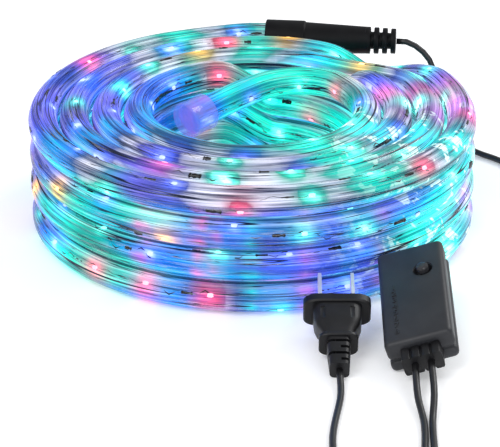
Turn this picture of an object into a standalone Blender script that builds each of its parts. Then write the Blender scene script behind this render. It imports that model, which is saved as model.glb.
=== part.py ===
"""LED rope light: a coil of round rope light with its lead, controller and plug.

Metres, +Z up. The origin is at the middle of the coil's underside, on the floor.
The camera side is -Y. The rope's inner end lies in the bore and its outer end goes
into the boot at the back right.
"""
import math

import bmesh
import bpy
import numpy as np
from mathutils import Matrix, Vector

# The rope and its coil
ROPE_D = 0.0130
TURNS_ACROSS = 4
LAYERS = 4
TURN_PITCH = 0.01325
LAYER_PITCH = 0.0138
BORE_R = 0.0415
FLAT_W = 0.0030
COIL_STEPS = 40
BUMP_HALF_ANGLE = 60.0
BUMP_STEP = 30.0

# Clearances between pieces that touch
SEAT_GAP = 0.0003
FACE_GAP = 0.0003

# The rope's inner end and its cap
TAIL_START_ANGLE = 43.0
TAIL_SAG = 0.0050
CAP_WALL = 0.0011
CAP_LENGTH = 0.0120
CAP_END = 0.0025

# The boot on the rope's outer end
BOOT_D = 0.0156
BOOT_TIP_D = 0.0112
BOOT_LENGTH = 0.0590
BOOT_HEADING = -6.0
BOOT_START_ANGLE = 86.0
BOOT_BAY_END_ANGLE = 52.0
BOOT_SOCKET = 0.0120
BOOT_SLEEVE = 0.0180
BOOT_RIB_COUNT = 4
BOOT_RIB_W = 0.0022
BOOT_GROOVE_W = 0.0016
BOOT_GROOVE_DEPTH = 0.0013

# The lead
LEAD_D = 0.0027
LEAD_POINT_STEP = 0.0085

# The controller
CASE_W = 0.0265
CASE_L = 0.0600
CASE_T = 0.0135
CASE_EDGE = 0.0022
BACK_T = 0.0050
CASE_LEAN = 9.0
CASE_ROLL = 18.0
CASE_X = 0.0655
BUTTON_D = 0.0050
BUTTON_H = 0.0028
BUTTON_STROKE = 0.0010
BUTTON_STEM_D = 0.0034
BUTTON_STEM_L = 0.0022
WELL_D = 0.0078
WELL_DEPTH = 0.0022
BUTTON_FROM_TOP = 0.0172
BUTTON_FROM_MIDDLE = 0.0047
GLAND_W = 0.0155
GLAND_T = 0.0080
GLAND_L = 0.0070
GLAND_FLUTES = 5
GLAND_FLUTE_W = 0.0012
GLAND_FLUTE_DEPTH = 0.0010
EXIT_SPACING = 0.0062
PAIR_SPACING = 0.0032

# The plug
FLANGE_W = 0.0260
FLANGE_T = 0.0140
FLANGE_H = 0.0045
BODY_W = 0.0190
BODY_T = 0.0120
BODY_TIP_W = 0.0115
BODY_TIP_T = 0.0090
BODY_H = 0.0160
COLLAR_W = 0.0150
COLLAR_T = 0.0110
COLLAR_H = 0.0020
RELIEF_D = 0.0095
RELIEF_TIP_D = 0.0075
RELIEF_H = 0.0140
RELIEF_RIB_COUNT = 4
RELIEF_GROOVE_W = 0.0015
RELIEF_GROOVE_DEPTH = 0.0012
BLADE_W = 0.00635
BLADE_T = 0.0015
BLADE_L = 0.0170
BLADE_SPACING = 0.0127
BLADE_ROOT = 0.0030
PLUG_LEAN = 14.0
PLUG_X = 0.0325

# The spare length of lead, coiled
SPARE_MEAN_D = 0.0307
SPARE_W = 0.0084
SPARE_H = 0.0056
SPARE_X = 0.0360
SPARE_Y = -0.2520

FIRST_TURN_R = BORE_R + ROPE_D / 2
OUTER_TURN_R = FIRST_TURN_R + (TURNS_ACROSS - 1) * TURN_PITCH
OUTER_R = OUTER_TURN_R + ROPE_D / 2
TOP_TURN_Z = ROPE_D / 2 + (LAYERS - 1) * LAYER_PITCH
COIL_H = TOP_TURN_Z + ROPE_D / 2


def clear_scene():
    """Start from an empty file."""
    for item in list(bpy.data.objects):
        bpy.data.objects.remove(item, do_unlink=True)


def new_collection(name):
    """A collection in the scene."""
    group = bpy.data.collections.new(name)
    bpy.context.scene.collection.children.link(group)
    return group


def make_material(name, colour, roughness, metallic=0.0, transmission=0.0):
    """A plain finish with a colour, a roughness and a metallic value."""
    finish = bpy.data.materials.new(name)
    finish.use_nodes = True
    shader = finish.node_tree.nodes["Principled BSDF"]
    shader.inputs["Base Color"].default_value = (*colour, 1.0)
    shader.inputs["Roughness"].default_value = roughness
    shader.inputs["Metallic"].default_value = metallic
    shader.inputs["Transmission Weight"].default_value = transmission
    return finish


def add_object(name, mesh, group, finish=None):
    """Link a mesh as a named object."""
    item = bpy.data.objects.new(name, mesh)
    group.objects.link(item)
    if finish is not None:
        mesh.materials.append(finish)
    return item


def smooth(mesh, angle=40.0):
    """Shade a round piece smooth and keep its real edges."""
    mesh.shade_smooth()
    mesh.set_sharp_from_angle(angle=math.radians(angle))


def as_cutter(item):
    """Show a cutter as a wire that never renders."""
    item.hide_render = True
    item.display_type = "WIRE"
    return item


def boolean(item, other, operation):
    """Cut or join one object with another."""
    change = item.modifiers.new(operation.title() + " " + other.name, "BOOLEAN")
    change.operation = operation
    change.solver = "EXACT"
    change.object = other
    return change


def smooth_route(points, step):
    """Points at an even step along a smooth curve through the given points."""
    knots = [Vector(p) for p in points]
    before = knots[0] * 2 - knots[1]
    after = knots[-1] * 2 - knots[-2]
    chain = [before] + knots + [after]
    dense = []
    for i in range(1, len(chain) - 2):
        a, b, c, d = chain[i - 1], chain[i], chain[i + 1], chain[i + 2]
        t0 = 0.0
        t1 = t0 + math.sqrt((b - a).length)
        t2 = t1 + math.sqrt((c - b).length)
        t3 = t2 + math.sqrt((d - c).length)
        for k in range(24):
            t = t1 + (t2 - t1) * k / 24
            p1 = a * ((t1 - t) / (t1 - t0)) + b * ((t - t0) / (t1 - t0))
            p2 = b * ((t2 - t) / (t2 - t1)) + c * ((t - t1) / (t2 - t1))
            p3 = c * ((t3 - t) / (t3 - t2)) + d * ((t - t2) / (t3 - t2))
            q1 = p1 * ((t2 - t) / (t2 - t0)) + p2 * ((t - t0) / (t2 - t0))
            q2 = p2 * ((t3 - t) / (t3 - t1)) + p3 * ((t - t1) / (t3 - t1))
            dense.append(q1 * ((t2 - t) / (t2 - t1)) + q2 * ((t - t1) / (t2 - t1)))
    dense.append(knots[-1])
    lengths = [0.0]
    for one, two in zip(dense, dense[1:]):
        lengths.append(lengths[-1] + (two - one).length)
    count = max(3, int(round(lengths[-1] / step)))
    coords = np.array([tuple(p) for p in dense])
    wanted = np.linspace(0.0, lengths[-1], count + 1)
    columns = [np.interp(wanted, lengths, coords[:, k]) for k in range(3)]
    return [Vector(p) for p in zip(*columns)]


def tube_curve(name, points, radius, group, resolution=2):
    """A round tube along the points, closed at both ends."""
    data = bpy.data.curves.new(name, "CURVE")
    data.dimensions = "3D"
    data.bevel_depth = radius
    data.bevel_resolution = resolution
    data.use_fill_caps = True
    data.twist_mode = "MINIMUM"
    line = data.splines.new("POLY")
    line.points.add(len(points) - 1)
    for knot, point in zip(line.points, points):
        knot.co = (*point, 1.0)
    item = bpy.data.objects.new(name, data)
    group.objects.link(item)
    return item


def curve_to_mesh_object(item, group, name):
    """Make a curve a closed mesh object, and remove the curve."""
    bpy.context.view_layer.update()
    seen = item.evaluated_get(bpy.context.evaluated_depsgraph_get())
    mesh = bpy.data.meshes.new_from_object(seen)
    shape = bmesh.new()
    shape.from_mesh(mesh)
    bmesh.ops.remove_doubles(shape, verts=shape.verts, dist=0.00001)
    bmesh.ops.recalc_face_normals(shape, faces=shape.faces)
    shape.to_mesh(mesh)
    shape.free()
    mesh.name = name
    made = bpy.data.objects.new(name, mesh)
    made.matrix_world = item.matrix_world
    group.objects.link(made)
    bpy.data.objects.remove(item, do_unlink=True)
    return made


def turned(name, profile, steps, group, closed=False):
    """A profile of radius and height turned round the Z axis."""
    mesh = bpy.data.meshes.new(name)
    verts = [(r, 0.0, z) for r, z in profile]
    edges = [(i, i + 1) for i in range(len(verts) - 1)]
    if closed:
        edges.append((len(verts) - 1, 0))
    mesh.from_pydata(verts, edges, [])
    item = bpy.data.objects.new(name, mesh)
    group.objects.link(item)
    turn = item.modifiers.new("Turn", "SCREW")
    turn.axis = "Z"
    turn.angle = math.tau
    turn.steps = steps
    turn.render_steps = steps
    turn.use_merge_vertices = True
    turn.merge_threshold = 0.00001
    turn.use_smooth_shade = True
    return item


def outline_prism(name, outline, half_height, group):
    """A flat outline with a thickness, made a mesh."""
    data = bpy.data.curves.new(name, "CURVE")
    data.dimensions = "2D"
    data.fill_mode = "BOTH"
    data.extrude = half_height
    line = data.splines.new("POLY")
    line.points.add(len(outline) - 1)
    for knot, (x, y) in zip(line.points, outline):
        knot.co = (x, y, 0.0, 1.0)
    line.use_cyclic_u = True
    item = bpy.data.objects.new(name, data)
    group.objects.link(item)
    return curve_to_mesh_object(item, group, name)


def coil_profile():
    """The coil's section: a bump for each turn all round its four sides."""
    outer, inner = OUTER_TURN_R, FIRST_TURN_R
    top, low = TOP_TURN_Z, ROPE_D / 2
    radius = ROPE_D / 2
    points = []

    def bump(centre_r, centre_z, first, last):
        count = int(round((first - last) / BUMP_STEP))
        for k in range(count + 1):
            angle = first - k * BUMP_STEP
            if abs((angle + 90.0) % 360.0) < 0.01:
                points.append((centre_r + FLAT_W / 2, centre_z - radius))
                points.append((centre_r - FLAT_W / 2, centre_z - radius))
            else:
                turn = math.radians(angle)
                points.append((centre_r + radius * math.cos(turn),
                               centre_z + radius * math.sin(turn)))

    half = BUMP_HALF_ANGLE
    bump(outer, top, 90.0 + half, -half)
    for layer in range(LAYERS - 2, 0, -1):
        bump(outer, low + layer * LAYER_PITCH, half, -half)
    bump(outer, low, half, -90.0 - half)
    for turn in range(TURNS_ACROSS - 2, 0, -1):
        bump(inner + turn * TURN_PITCH, low, -90.0 + half, -90.0 - half)
    bump(inner, low, -90.0 + half, -180.0 - half)
    for layer in range(1, LAYERS - 1):
        bump(inner, low + layer * LAYER_PITCH, -180.0 + half, -180.0 - half)
    bump(inner, top, -180.0 + half, -270.0 - half)
    for turn in range(1, TURNS_ACROSS - 1):
        bump(inner + turn * TURN_PITCH, top, 90.0 + half, 90.0 - half)
    return points


def boot_frame():
    """Where the boot starts and which way it runs."""
    heading = math.radians(BOOT_HEADING)
    along = Vector((math.cos(heading), math.sin(heading), 0.0))
    across = Vector((-along.y, along.x, 0.0))
    inner_turn_edge = OUTER_TURN_R - TURN_PITCH + ROPE_D / 2
    offset = inner_turn_edge + SEAT_GAP + BOOT_D / 2
    lift = COIL_H - ROPE_D - (LAYER_PITCH - ROPE_D) + SEAT_GAP + BOOT_D / 2
    start = across * offset + along * (offset / math.tan(math.radians(BOOT_START_ANGLE - BOOT_HEADING)))
    start.z = lift
    return start, along


def tail_route():
    """The middle of the rope's inner end, from the inner turn to the cap."""
    turn = math.radians(TAIL_START_ANGLE)
    first = FIRST_TURN_R + 0.0010
    z = TOP_TURN_Z
    start = Vector((first * math.cos(turn), first * math.sin(turn), z - 0.0012))
    mid_one = Vector((FIRST_TURN_R * 0.45, FIRST_TURN_R * 0.82, z - TAIL_SAG * 0.20))
    mid_two = Vector((FIRST_TURN_R * 0.13, FIRST_TURN_R * 0.77, z - TAIL_SAG * 0.40))
    mid_three = Vector((-FIRST_TURN_R * 0.13, FIRST_TURN_R * 0.58, z - TAIL_SAG * 0.65))
    mid_four = Vector((-FIRST_TURN_R * 0.36, FIRST_TURN_R * 0.36, z - TAIL_SAG * 0.90))
    end = Vector((-FIRST_TURN_R * 0.55, FIRST_TURN_R * 0.17, z - TAIL_SAG * 1.15))
    return [start, mid_one, mid_two, mid_three, mid_four, end]


def make_rope_coil(group, cutters, finish):
    """The coil with its inner tail and the stub that goes into the boot."""
    item = turned("rope_coil", coil_profile(), COIL_STEPS, group, closed=True)
    item.data.materials.append(finish)

    start, along = boot_frame()
    bay_inner = OUTER_TURN_R - TURN_PITCH + ROPE_D / 2 * math.cos(math.radians(15.0)) + SEAT_GAP / 2
    first, last = math.radians(BOOT_BAY_END_ANGLE), math.radians(BOOT_START_ANGLE + 1.0)
    outline = []
    for k in range(13):
        angle = first + (last - first) * k / 12
        outline.append((bay_inner * math.cos(angle), bay_inner * math.sin(angle)))
    for k in range(5):
        angle = last + (first - last) * k / 4
        outline.append((OUTER_R * 1.25 * math.cos(angle), OUTER_R * 1.25 * math.sin(angle)))
    bay = outline_prism("boot_bay", outline, ROPE_D, cutters)
    bay.location.z = COIL_H - ROPE_D - (LAYER_PITCH - ROPE_D) + ROPE_D
    as_cutter(bay)
    boolean(item, bay, "DIFFERENCE")

    inside = Vector((start.x, start.y, start.z)) - along * 0.0090
    inside.x -= 0.0030
    inside.y -= 0.0045
    inside.z = TOP_TURN_Z - 0.0010
    middle = start - along * 0.0030
    middle.z = start.z - 0.0001
    stub_end = start + along * (BOOT_SOCKET - FACE_GAP)
    stub = tube_curve("stub", [inside, middle, stub_end], ROPE_D / 2 * 0.985, cutters, 4)
    stub = as_cutter(curve_to_mesh_object(stub, cutters, "stub_shape"))
    boolean(item, stub, "UNION")

    route = smooth_route(tail_route(), 0.0065)
    tail = tube_curve("tail", route, ROPE_D / 2, cutters, 3)
    tail = as_cutter(curve_to_mesh_object(tail, cutters, "tail_shape"))
    boolean(item, tail, "UNION")
    return item


def make_end_cap(group, finish):
    """The clear cap over the rope's inner end, a cup that faces back along the rope."""
    route = smooth_route(tail_route(), 0.0065)
    tip = route[-1]
    along = (route[-1] - route[-2]).normalized()
    inner = ROPE_D / 2 + SEAT_GAP
    outer = ROPE_D / 2 + CAP_WALL + SEAT_GAP
    depth = CAP_LENGTH - CAP_END
    profile = [(0.0, CAP_END), (outer - 0.0006, CAP_END), (outer, CAP_END - 0.0006),
               (outer, -depth), (inner, -depth), (inner, 0.0), (0.0, 0.0)]
    item = turned("end_cap", profile, 20, group)
    item.data.materials.append(finish)
    place_along(item, tip + along * FACE_GAP, along)
    return item


def place_along(item, point, direction):
    """Put a turned piece's origin at a point with its Z axis along a direction."""
    turn = direction.to_track_quat("Z", "Y")
    item.matrix_world = Matrix.Translation(point) @ turn.to_matrix().to_4x4()


def ribbed_profile(length, start_r, end_r, ribs, rib_w, groove_w, depth):
    """Outer side of a tapered sleeve, from its start down to its ribbed end."""
    ribbed = ribs * rib_w + (ribs - 1) * groove_w
    points = [(start_r, 0.0)]
    plain = length - ribbed
    slope = (end_r - start_r) / length
    at = plain
    points.append((start_r + slope * at, at))
    for k in range(ribs):
        if k:
            low = start_r + slope * at - depth
            points.append((low, at))
            at += groove_w
            points.append((start_r + slope * at - depth, at))
        points.append((start_r + slope * at, at))
        at += rib_w
        points.append((start_r + slope * at, at))
    return points


def make_boot(group, finish):
    """The boot: a sleeve over the rope that tapers to a ribbed end round the lead."""
    start, along = boot_frame()
    start_r, end_r = BOOT_D / 2, BOOT_TIP_D / 2
    length = BOOT_LENGTH
    taper = ribbed_profile(length - BOOT_SLEEVE, start_r - 0.0006, end_r, BOOT_RIB_COUNT, BOOT_RIB_W,
                           BOOT_GROOVE_W, BOOT_GROOVE_DEPTH)
    side = [(start_r, 0.0), (start_r, BOOT_SLEEVE)]
    side += [(r, z + BOOT_SLEEVE) for r, z in taper]
    socket_r = ROPE_D / 2 + SEAT_GAP
    profile = [(0.0, BOOT_SOCKET), (socket_r, BOOT_SOCKET), (socket_r, 0.0)] + side
    profile.append((0.0, length))
    profile.reverse()
    item = turned("connector_boot", profile, 20, group)
    item.data.materials.append(finish)
    place_along(item, start, along)
    return item


def box_points(width, length, low, high, count=9):
    """Points all over a box that starts at Y = 0."""
    xs = np.linspace(-width / 2, width / 2, count)
    ys = np.linspace(0.0, length, count * 2)
    zs = np.linspace(low, high, count)
    grid = np.array(np.meshgrid(xs, ys, zs)).reshape(3, -1).T
    edge = (np.abs(grid[:, 0]) > width / 2 - 1e-9) | (grid[:, 1] < 1e-9)
    edge |= (grid[:, 1] > length - 1e-9) | (grid[:, 2] < low + 1e-9) | (grid[:, 2] > high - 1e-9)
    return grid[edge]


def coil_distance(points):
    """How far points lie outside the coil's outer side."""
    flat = np.hypot(points[:, 0], points[:, 1])
    best = np.full(len(points), 1.0)
    for layer in range(LAYERS):
        z = ROPE_D / 2 + layer * LAYER_PITCH
        gap = np.hypot(flat - OUTER_TURN_R, points[:, 2] - z) - ROPE_D / 2
        best = np.minimum(best, gap)
    valley = ROPE_D / 2 * (1.0 - math.cos(math.radians(BUMP_HALF_ANGLE)))
    tall = np.maximum(flat - (OUTER_R - valley), points[:, 2] - COIL_H)
    return np.minimum(best, tall)


def leaning_frame(points, x, lean, roll, edge=0.0):
    """Lay a piece with rounded edges on the floor and lean its far end on the coil."""
    turn = Matrix.Rotation(math.radians(lean), 4, "X") @ Matrix.Rotation(math.radians(-roll), 4, "Y")
    matrix = np.array(turn.to_3x3())
    spread = points @ matrix.T
    drop = spread[:, 2].min() - edge
    near, far = -3.0 * OUTER_R, 0.0
    for _ in range(40):
        middle = (near + far) / 2
        moved = spread + np.array((x, middle, -drop))
        if coil_distance(moved).min() > SEAT_GAP + edge:
            near = middle
        else:
            far = middle
    return Matrix.Translation((x, near, -drop)) @ turn


def rounded_box(name, width, length, low, high, radius, group, segments=2, y0=0.0):
    """A box with rounded edges that starts at Y = y0."""
    shape = bmesh.new()
    bmesh.ops.create_cube(shape, size=1.0)
    bmesh.ops.scale(shape, vec=(width, length, high - low), verts=shape.verts)
    bmesh.ops.translate(shape, vec=(0.0, y0 + length / 2, (low + high) / 2), verts=shape.verts)
    mesh = bpy.data.meshes.new(name)
    shape.to_mesh(mesh)
    shape.free()
    item = bpy.data.objects.new(name, mesh)
    group.objects.link(item)
    if radius > 0.0:
        edge = item.modifiers.new("Rounded edges", "BEVEL")
        edge.width = radius
        edge.segments = segments
        edge.limit_method = "ANGLE"
    return item


def case_frame():
    """Where the controller lies: its gland end on the floor, its head on the coil."""
    edge = CASE_EDGE
    body = box_points(CASE_W - 2 * edge, CASE_L - 2 * edge, edge, CASE_T - edge)
    body[:, 1] += edge
    gland = box_points(GLAND_W - 2 * edge, GLAND_L, edge - GLAND_T / 2, GLAND_T / 2 - edge)
    gland[:, 1] += edge - GLAND_L
    gland[:, 2] += CASE_T / 2
    return leaning_frame(np.vstack((body, gland)), CASE_X, CASE_LEAN, CASE_ROLL, edge)


def plug_frame():
    """Where the plug lies: its cord end on the floor, its blades against the coil."""
    relief = box_points(RELIEF_D, RELIEF_H * 0.2, -RELIEF_D / 2, RELIEF_D / 2)
    relief[:, 1] += RELIEF_H * 0.8
    tip = box_points(RELIEF_TIP_D, 0.0010, -RELIEF_TIP_D / 2, RELIEF_TIP_D / 2)
    collar = box_points(COLLAR_W, COLLAR_H, -COLLAR_T / 2, COLLAR_T / 2)
    collar[:, 1] += RELIEF_H
    flange = box_points(FLANGE_W, FLANGE_H, -FLANGE_T / 2, FLANGE_T / 2)
    flange[:, 1] += RELIEF_H + COLLAR_H + BODY_H
    blades = box_points(BLADE_SPACING + BLADE_T, BLADE_L, -BLADE_W / 2, BLADE_W / 2)
    blades[:, 1] += RELIEF_H + COLLAR_H + BODY_H + FLANGE_H
    return leaning_frame(np.vstack((relief, tip, collar, flange, blades)), PLUG_X, PLUG_LEAN, 0.0)


def button_place():
    """Where the button stands on the controller's face."""
    return Vector((BUTTON_FROM_MIDDLE, CASE_L - BUTTON_FROM_TOP, CASE_T))


def make_controller(group, cutters, finishes):
    """The controller: two case halves, its button and its gland."""
    frame = case_frame()
    case = rounded_box("controller_case", CASE_W, CASE_L, BACK_T + FACE_GAP, CASE_T, CASE_EDGE, group)
    case.data.materials.append(finishes["case"])
    case.matrix_world = frame
    place = button_place()
    stem_r = BUTTON_STEM_D / 2
    hole_r = stem_r + SEAT_GAP
    above = BUTTON_STROKE
    hole_depth = WELL_DEPTH + BUTTON_STEM_L + above
    well = turned("button_well", [(0.0, 0.0), (WELL_D / 2, 0.0), (WELL_D / 2, -WELL_DEPTH - above),
                                  (hole_r, -WELL_DEPTH - above), (hole_r, -hole_depth - above),
                                  (0.0, -hole_depth - above)], 24, cutters)
    well.matrix_world = frame @ Matrix.Translation((place.x, place.y, place.z + above))
    as_cutter(well)
    boolean(case, well, "DIFFERENCE")

    back = rounded_box("controller_back", CASE_W, CASE_L, 0.0, BACK_T, CASE_EDGE, group)
    back.data.materials.append(finishes["back"])
    back.matrix_world = frame

    radius = BUTTON_D / 2
    floor_z = -WELL_DEPTH + BUTTON_STROKE + FACE_GAP
    profile = [(0.0, floor_z + BUTTON_H), (radius * 0.55, floor_z + BUTTON_H * 0.95),
               (radius * 0.88, floor_z + BUTTON_H * 0.78), (radius, floor_z + BUTTON_H * 0.50),
               (radius, floor_z), (stem_r, floor_z), (stem_r, floor_z - BUTTON_STEM_L),
               (0.0, floor_z - BUTTON_STEM_L)]
    button = turned("mode_button", profile, 20, group)
    button.data.materials.append(finishes["button"])
    button.matrix_world = frame @ Matrix.Translation(place)

    gland = rounded_box("cable_gland", GLAND_W, GLAND_L - FACE_GAP, CASE_T / 2 - GLAND_T / 2,
                        CASE_T / 2 + GLAND_T / 2, 0.0012, group, y0=-GLAND_L)
    gland.data.materials.append(finishes["gland"])
    gland.matrix_world = frame
    pitch = GLAND_W / (GLAND_FLUTES + 1)
    for k in range(GLAND_FLUTES):
        x = (k + 1) * pitch - GLAND_W / 2
        z = CASE_T / 2 + GLAND_T / 2
        groove = rounded_box("flute_%d" % (k + 1), GLAND_FLUTE_W, GLAND_L, z - GLAND_FLUTE_DEPTH,
                             z + GLAND_FLUTE_DEPTH, 0.0, cutters, y0=-GLAND_L - 0.0015)
        groove.matrix_world = frame @ Matrix.Translation((x, 0.0, 0.0))
        as_cutter(groove)
        boolean(gland, groove, "DIFFERENCE")
    return frame


def loft(name, sections, group):
    """A body through rounded rectangular sections that stand across the Y axis."""
    shape = bmesh.new()
    rings = []
    for width, thick, y, corner in sections:
        ring = []
        for sx, sz, start in ((1, 1, 0), (-1, 1, 90), (-1, -1, 180), (1, -1, 270)):
            for k in range(3):
                turn = math.radians(start + 45.0 * k)
                x = sx * (width / 2 - corner) + corner * math.cos(turn)
                z = sz * (thick / 2 - corner) + corner * math.sin(turn)
                ring.append(shape.verts.new((x, y, z)))
        rings.append(ring)
    for one, two in zip(rings, rings[1:]):
        for k in range(len(one)):
            n = (k + 1) % len(one)
            shape.faces.new((one[k], two[k], two[n], one[n]))
    shape.faces.new(rings[0])
    shape.faces.new(list(reversed(rings[-1])))
    bmesh.ops.recalc_face_normals(shape, faces=shape.faces)
    mesh = bpy.data.meshes.new(name)
    shape.to_mesh(mesh)
    shape.free()
    item = bpy.data.objects.new(name, mesh)
    group.objects.link(item)
    return item


def make_plug(group, cutters, finishes):
    """The plug: its moulded body with a ribbed relief, and its two blades."""
    frame = plug_frame()
    sections = []
    at = 0.0
    pitch = RELIEF_H / RELIEF_RIB_COUNT
    slope = (RELIEF_D - RELIEF_TIP_D) / RELIEF_H
    for k in range(RELIEF_RIB_COUNT):
        wide = RELIEF_TIP_D + slope * at
        sections.append((wide, wide, at, wide * 0.28))
        at += pitch - RELIEF_GROOVE_W
        wide = RELIEF_TIP_D + slope * at
        sections.append((wide, wide, at, wide * 0.28))
        thin = wide - 2 * RELIEF_GROOVE_DEPTH
        sections.append((thin, thin, at, thin * 0.28))
        at += RELIEF_GROOVE_W
        sections.append((thin, thin, at, thin * 0.28))
    sections.append((COLLAR_W, COLLAR_T, at, 0.0030))
    at += COLLAR_H
    sections.append((COLLAR_W, COLLAR_T, at, 0.0030))
    sections.append((BODY_TIP_W, BODY_TIP_T, at, 0.0028))
    sections.append((BODY_W * 0.80, BODY_T * 0.88, at + BODY_H * 0.35, 0.0035))
    sections.append((BODY_W * 0.95, BODY_T * 0.97, at + BODY_H * 0.70, 0.0040))
    at += BODY_H
    sections.append((BODY_W, BODY_T, at, 0.0042))
    sections.append((FLANGE_W, FLANGE_T, at, 0.0042))
    at += FLANGE_H
    sections.append((FLANGE_W, FLANGE_T, at - 0.0008, 0.0042))
    sections.append((FLANGE_W - 0.0016, FLANGE_T - 0.0016, at, 0.0036))
    body = loft("plug_body", sections, group)
    body.data.materials.append(finishes["plug"])
    smooth(body.data, 35.0)
    body.matrix_world = frame
    face = at
    for side, label in ((-1.0, "left"), (1.0, "right")):
        x = side * BLADE_SPACING / 2
        slot = rounded_box("blade_slot_" + label, BLADE_T + 2 * SEAT_GAP, BLADE_ROOT + 0.0010,
                           -BLADE_W / 2 - SEAT_GAP, BLADE_W / 2 + SEAT_GAP, 0.0, cutters,
                           y0=face - BLADE_ROOT)
        slot.matrix_world = frame @ Matrix.Translation((x, 0.0, 0.0))
        as_cutter(slot)
        boolean(body, slot, "DIFFERENCE")
        blade = rounded_box("plug_blade_" + label, BLADE_T, BLADE_L + BLADE_ROOT - FACE_GAP,
                            -BLADE_W / 2, BLADE_W / 2, 0.0, group, y0=face - BLADE_ROOT + FACE_GAP)
        blade.data.materials.append(finishes["blade"])
        tip = blade.modifiers.new("Bevelled tip", "BEVEL")
        tip.width = 0.0004
        tip.segments = 1
        blade.matrix_world = frame @ Matrix.Translation((x, 0.0, 0.0))
    return frame


def make_tube(name, points, group, finish, straight_start=None, straight_end=None):
    """A plain tube of lead along a smooth route, with short straight ends."""
    knots = [Vector(p) for p in points]
    head, foot = [], []
    if straight_start is not None:
        head = [knots[0]]
        knots[0] = knots[0] + straight_start * LEAD_D
    if straight_end is not None:
        foot = [knots[-1]]
        knots[-1] = knots[-1] + straight_end * LEAD_D
    route = smooth_route(knots, LEAD_POINT_STEP)
    for point in route[1:-1]:
        point.z = max(point.z, LEAD_D / 2)
    route = head + route + foot
    item = tube_curve(name, route, LEAD_D / 2, group, 2)
    item.data.materials.append(finish)
    return item


def make_leads(group, case, plug, finish):
    """The lead from the boot to the controller, and the one from there to the plug."""
    start, along = boot_frame()
    floor = LEAD_D / 2
    boot_end = start + along * (BOOT_LENGTH + FACE_GAP)
    right_exit = case @ Vector((EXIT_SPACING / 2, -GLAND_L - FACE_GAP, CASE_T / 2))
    left_exit = case @ Vector((-EXIT_SPACING / 2, -GLAND_L - FACE_GAP, CASE_T / 2))
    out = (case.to_3x3() @ Vector((0.0, -1.0, 0.0))).normalized()
    plug_exit = plug @ Vector((0.0, -FACE_GAP, 0.0))
    plug_out = (plug.to_3x3() @ Vector((0.0, -1.0, 0.0))).normalized()

    pair_x = (right_exit.x + left_exit.x) / 2
    pair_y = right_exit.y - 0.0300
    reach = OUTER_R + 0.0320
    first = [boot_end, boot_end + along * 0.0060 + Vector((0.0, 0.0, -0.0005)),
             (0.0795, 0.0795, 0.0420), (0.0835, 0.0770, 0.0310), (0.0860, 0.0750, 0.0190),
             (0.0910, 0.0720, 0.0080), (0.1010, 0.0660, floor + 0.0004), (0.1150, 0.0520, floor),
             (reach, 0.0200, floor), (reach + 0.0010, -0.0300, floor), (reach - 0.0020, -0.0900, floor),
             (reach - 0.0130, -0.1600, floor), (reach - 0.0270, -0.2150, floor),
             (0.0860, -0.2420, floor), (0.0720, -0.2420, floor), (0.0645, -0.2200, floor),
             (pair_x + PAIR_SPACING / 2 - 0.0006, pair_y - 0.0150, floor),
             (pair_x + PAIR_SPACING / 2, pair_y, floor)]
    hold = right_exit + out * 0.0110
    first.append(Vector((right_exit.x, hold.y - 0.0060, max(floor, hold.z - 0.0020))))
    first.append(right_exit)
    make_tube("lead_to_controller", first, group, finish, along, out)

    spare = Vector((SPARE_X, SPARE_Y, 0.0))
    entry = spare + Vector((SPARE_MEAN_D / 2, SPARE_W / 2 + FACE_GAP, 0.0))
    hold = left_exit + out * 0.0110
    second = [left_exit, Vector((left_exit.x, hold.y - 0.0060, max(floor, hold.z - 0.0020))),
              (pair_x - PAIR_SPACING / 2, pair_y, floor),
              (pair_x - PAIR_SPACING / 2 - 0.0006, pair_y - 0.0150, floor),
              (left_exit.x - 0.0020, -0.2150, floor)]
    rim = SPARE_MEAN_D / 2 + SPARE_W / 2 + FACE_GAP + 0.0001
    turn = math.radians(38.0)
    second.append(Vector((spare.x + (rim + 0.0120) * math.cos(turn),
                          spare.y + (rim + 0.0120) * math.sin(turn), floor)))
    second.append(Vector((spare.x + rim * math.cos(turn), spare.y + rim * math.sin(turn), floor)))
    toward = Vector((math.cos(turn), math.sin(turn), 0.0))
    make_tube("lead_from_controller", second, group, finish, out, toward)

    turn = math.radians(118.0)
    third = [Vector((spare.x + rim * math.cos(turn), spare.y + rim * math.sin(turn), floor)),
             Vector((spare.x + (rim + 0.0120) * math.cos(turn), spare.y + (rim + 0.0120) * math.sin(turn), floor)),
             (plug_exit.x - 0.0040, plug_exit.y - 0.0450, floor)]
    hold = plug_exit + plug_out * 0.0080
    third.append(Vector((plug_exit.x, hold.y - 0.0060, max(floor, hold.z - 0.0016))))
    third.append(plug_exit)
    toward = Vector((math.cos(turn), math.sin(turn), 0.0))
    make_tube("lead_to_plug", third, group, finish, toward, plug_out)
    return entry


def make_spare_coil(group, finish):
    """The spare length of lead: one turned ring of the coil's outer shape."""
    mean, wide, high = SPARE_MEAN_D / 2, SPARE_W / 2, SPARE_H
    edge = LEAD_D / 2
    profile = [(mean + wide, high - edge), (mean + wide, edge), (mean + wide - edge, 0.0),
               (mean - wide + edge, 0.0), (mean - wide, edge), (mean - wide, high - edge),
               (mean - wide + edge, high), (mean + wide - edge, high)]
    item = turned("lead_coil", profile, 24, group, closed=True)
    item.data.materials.append(finish)
    item.location = (SPARE_X, SPARE_Y, 0.0)
    return item


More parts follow.
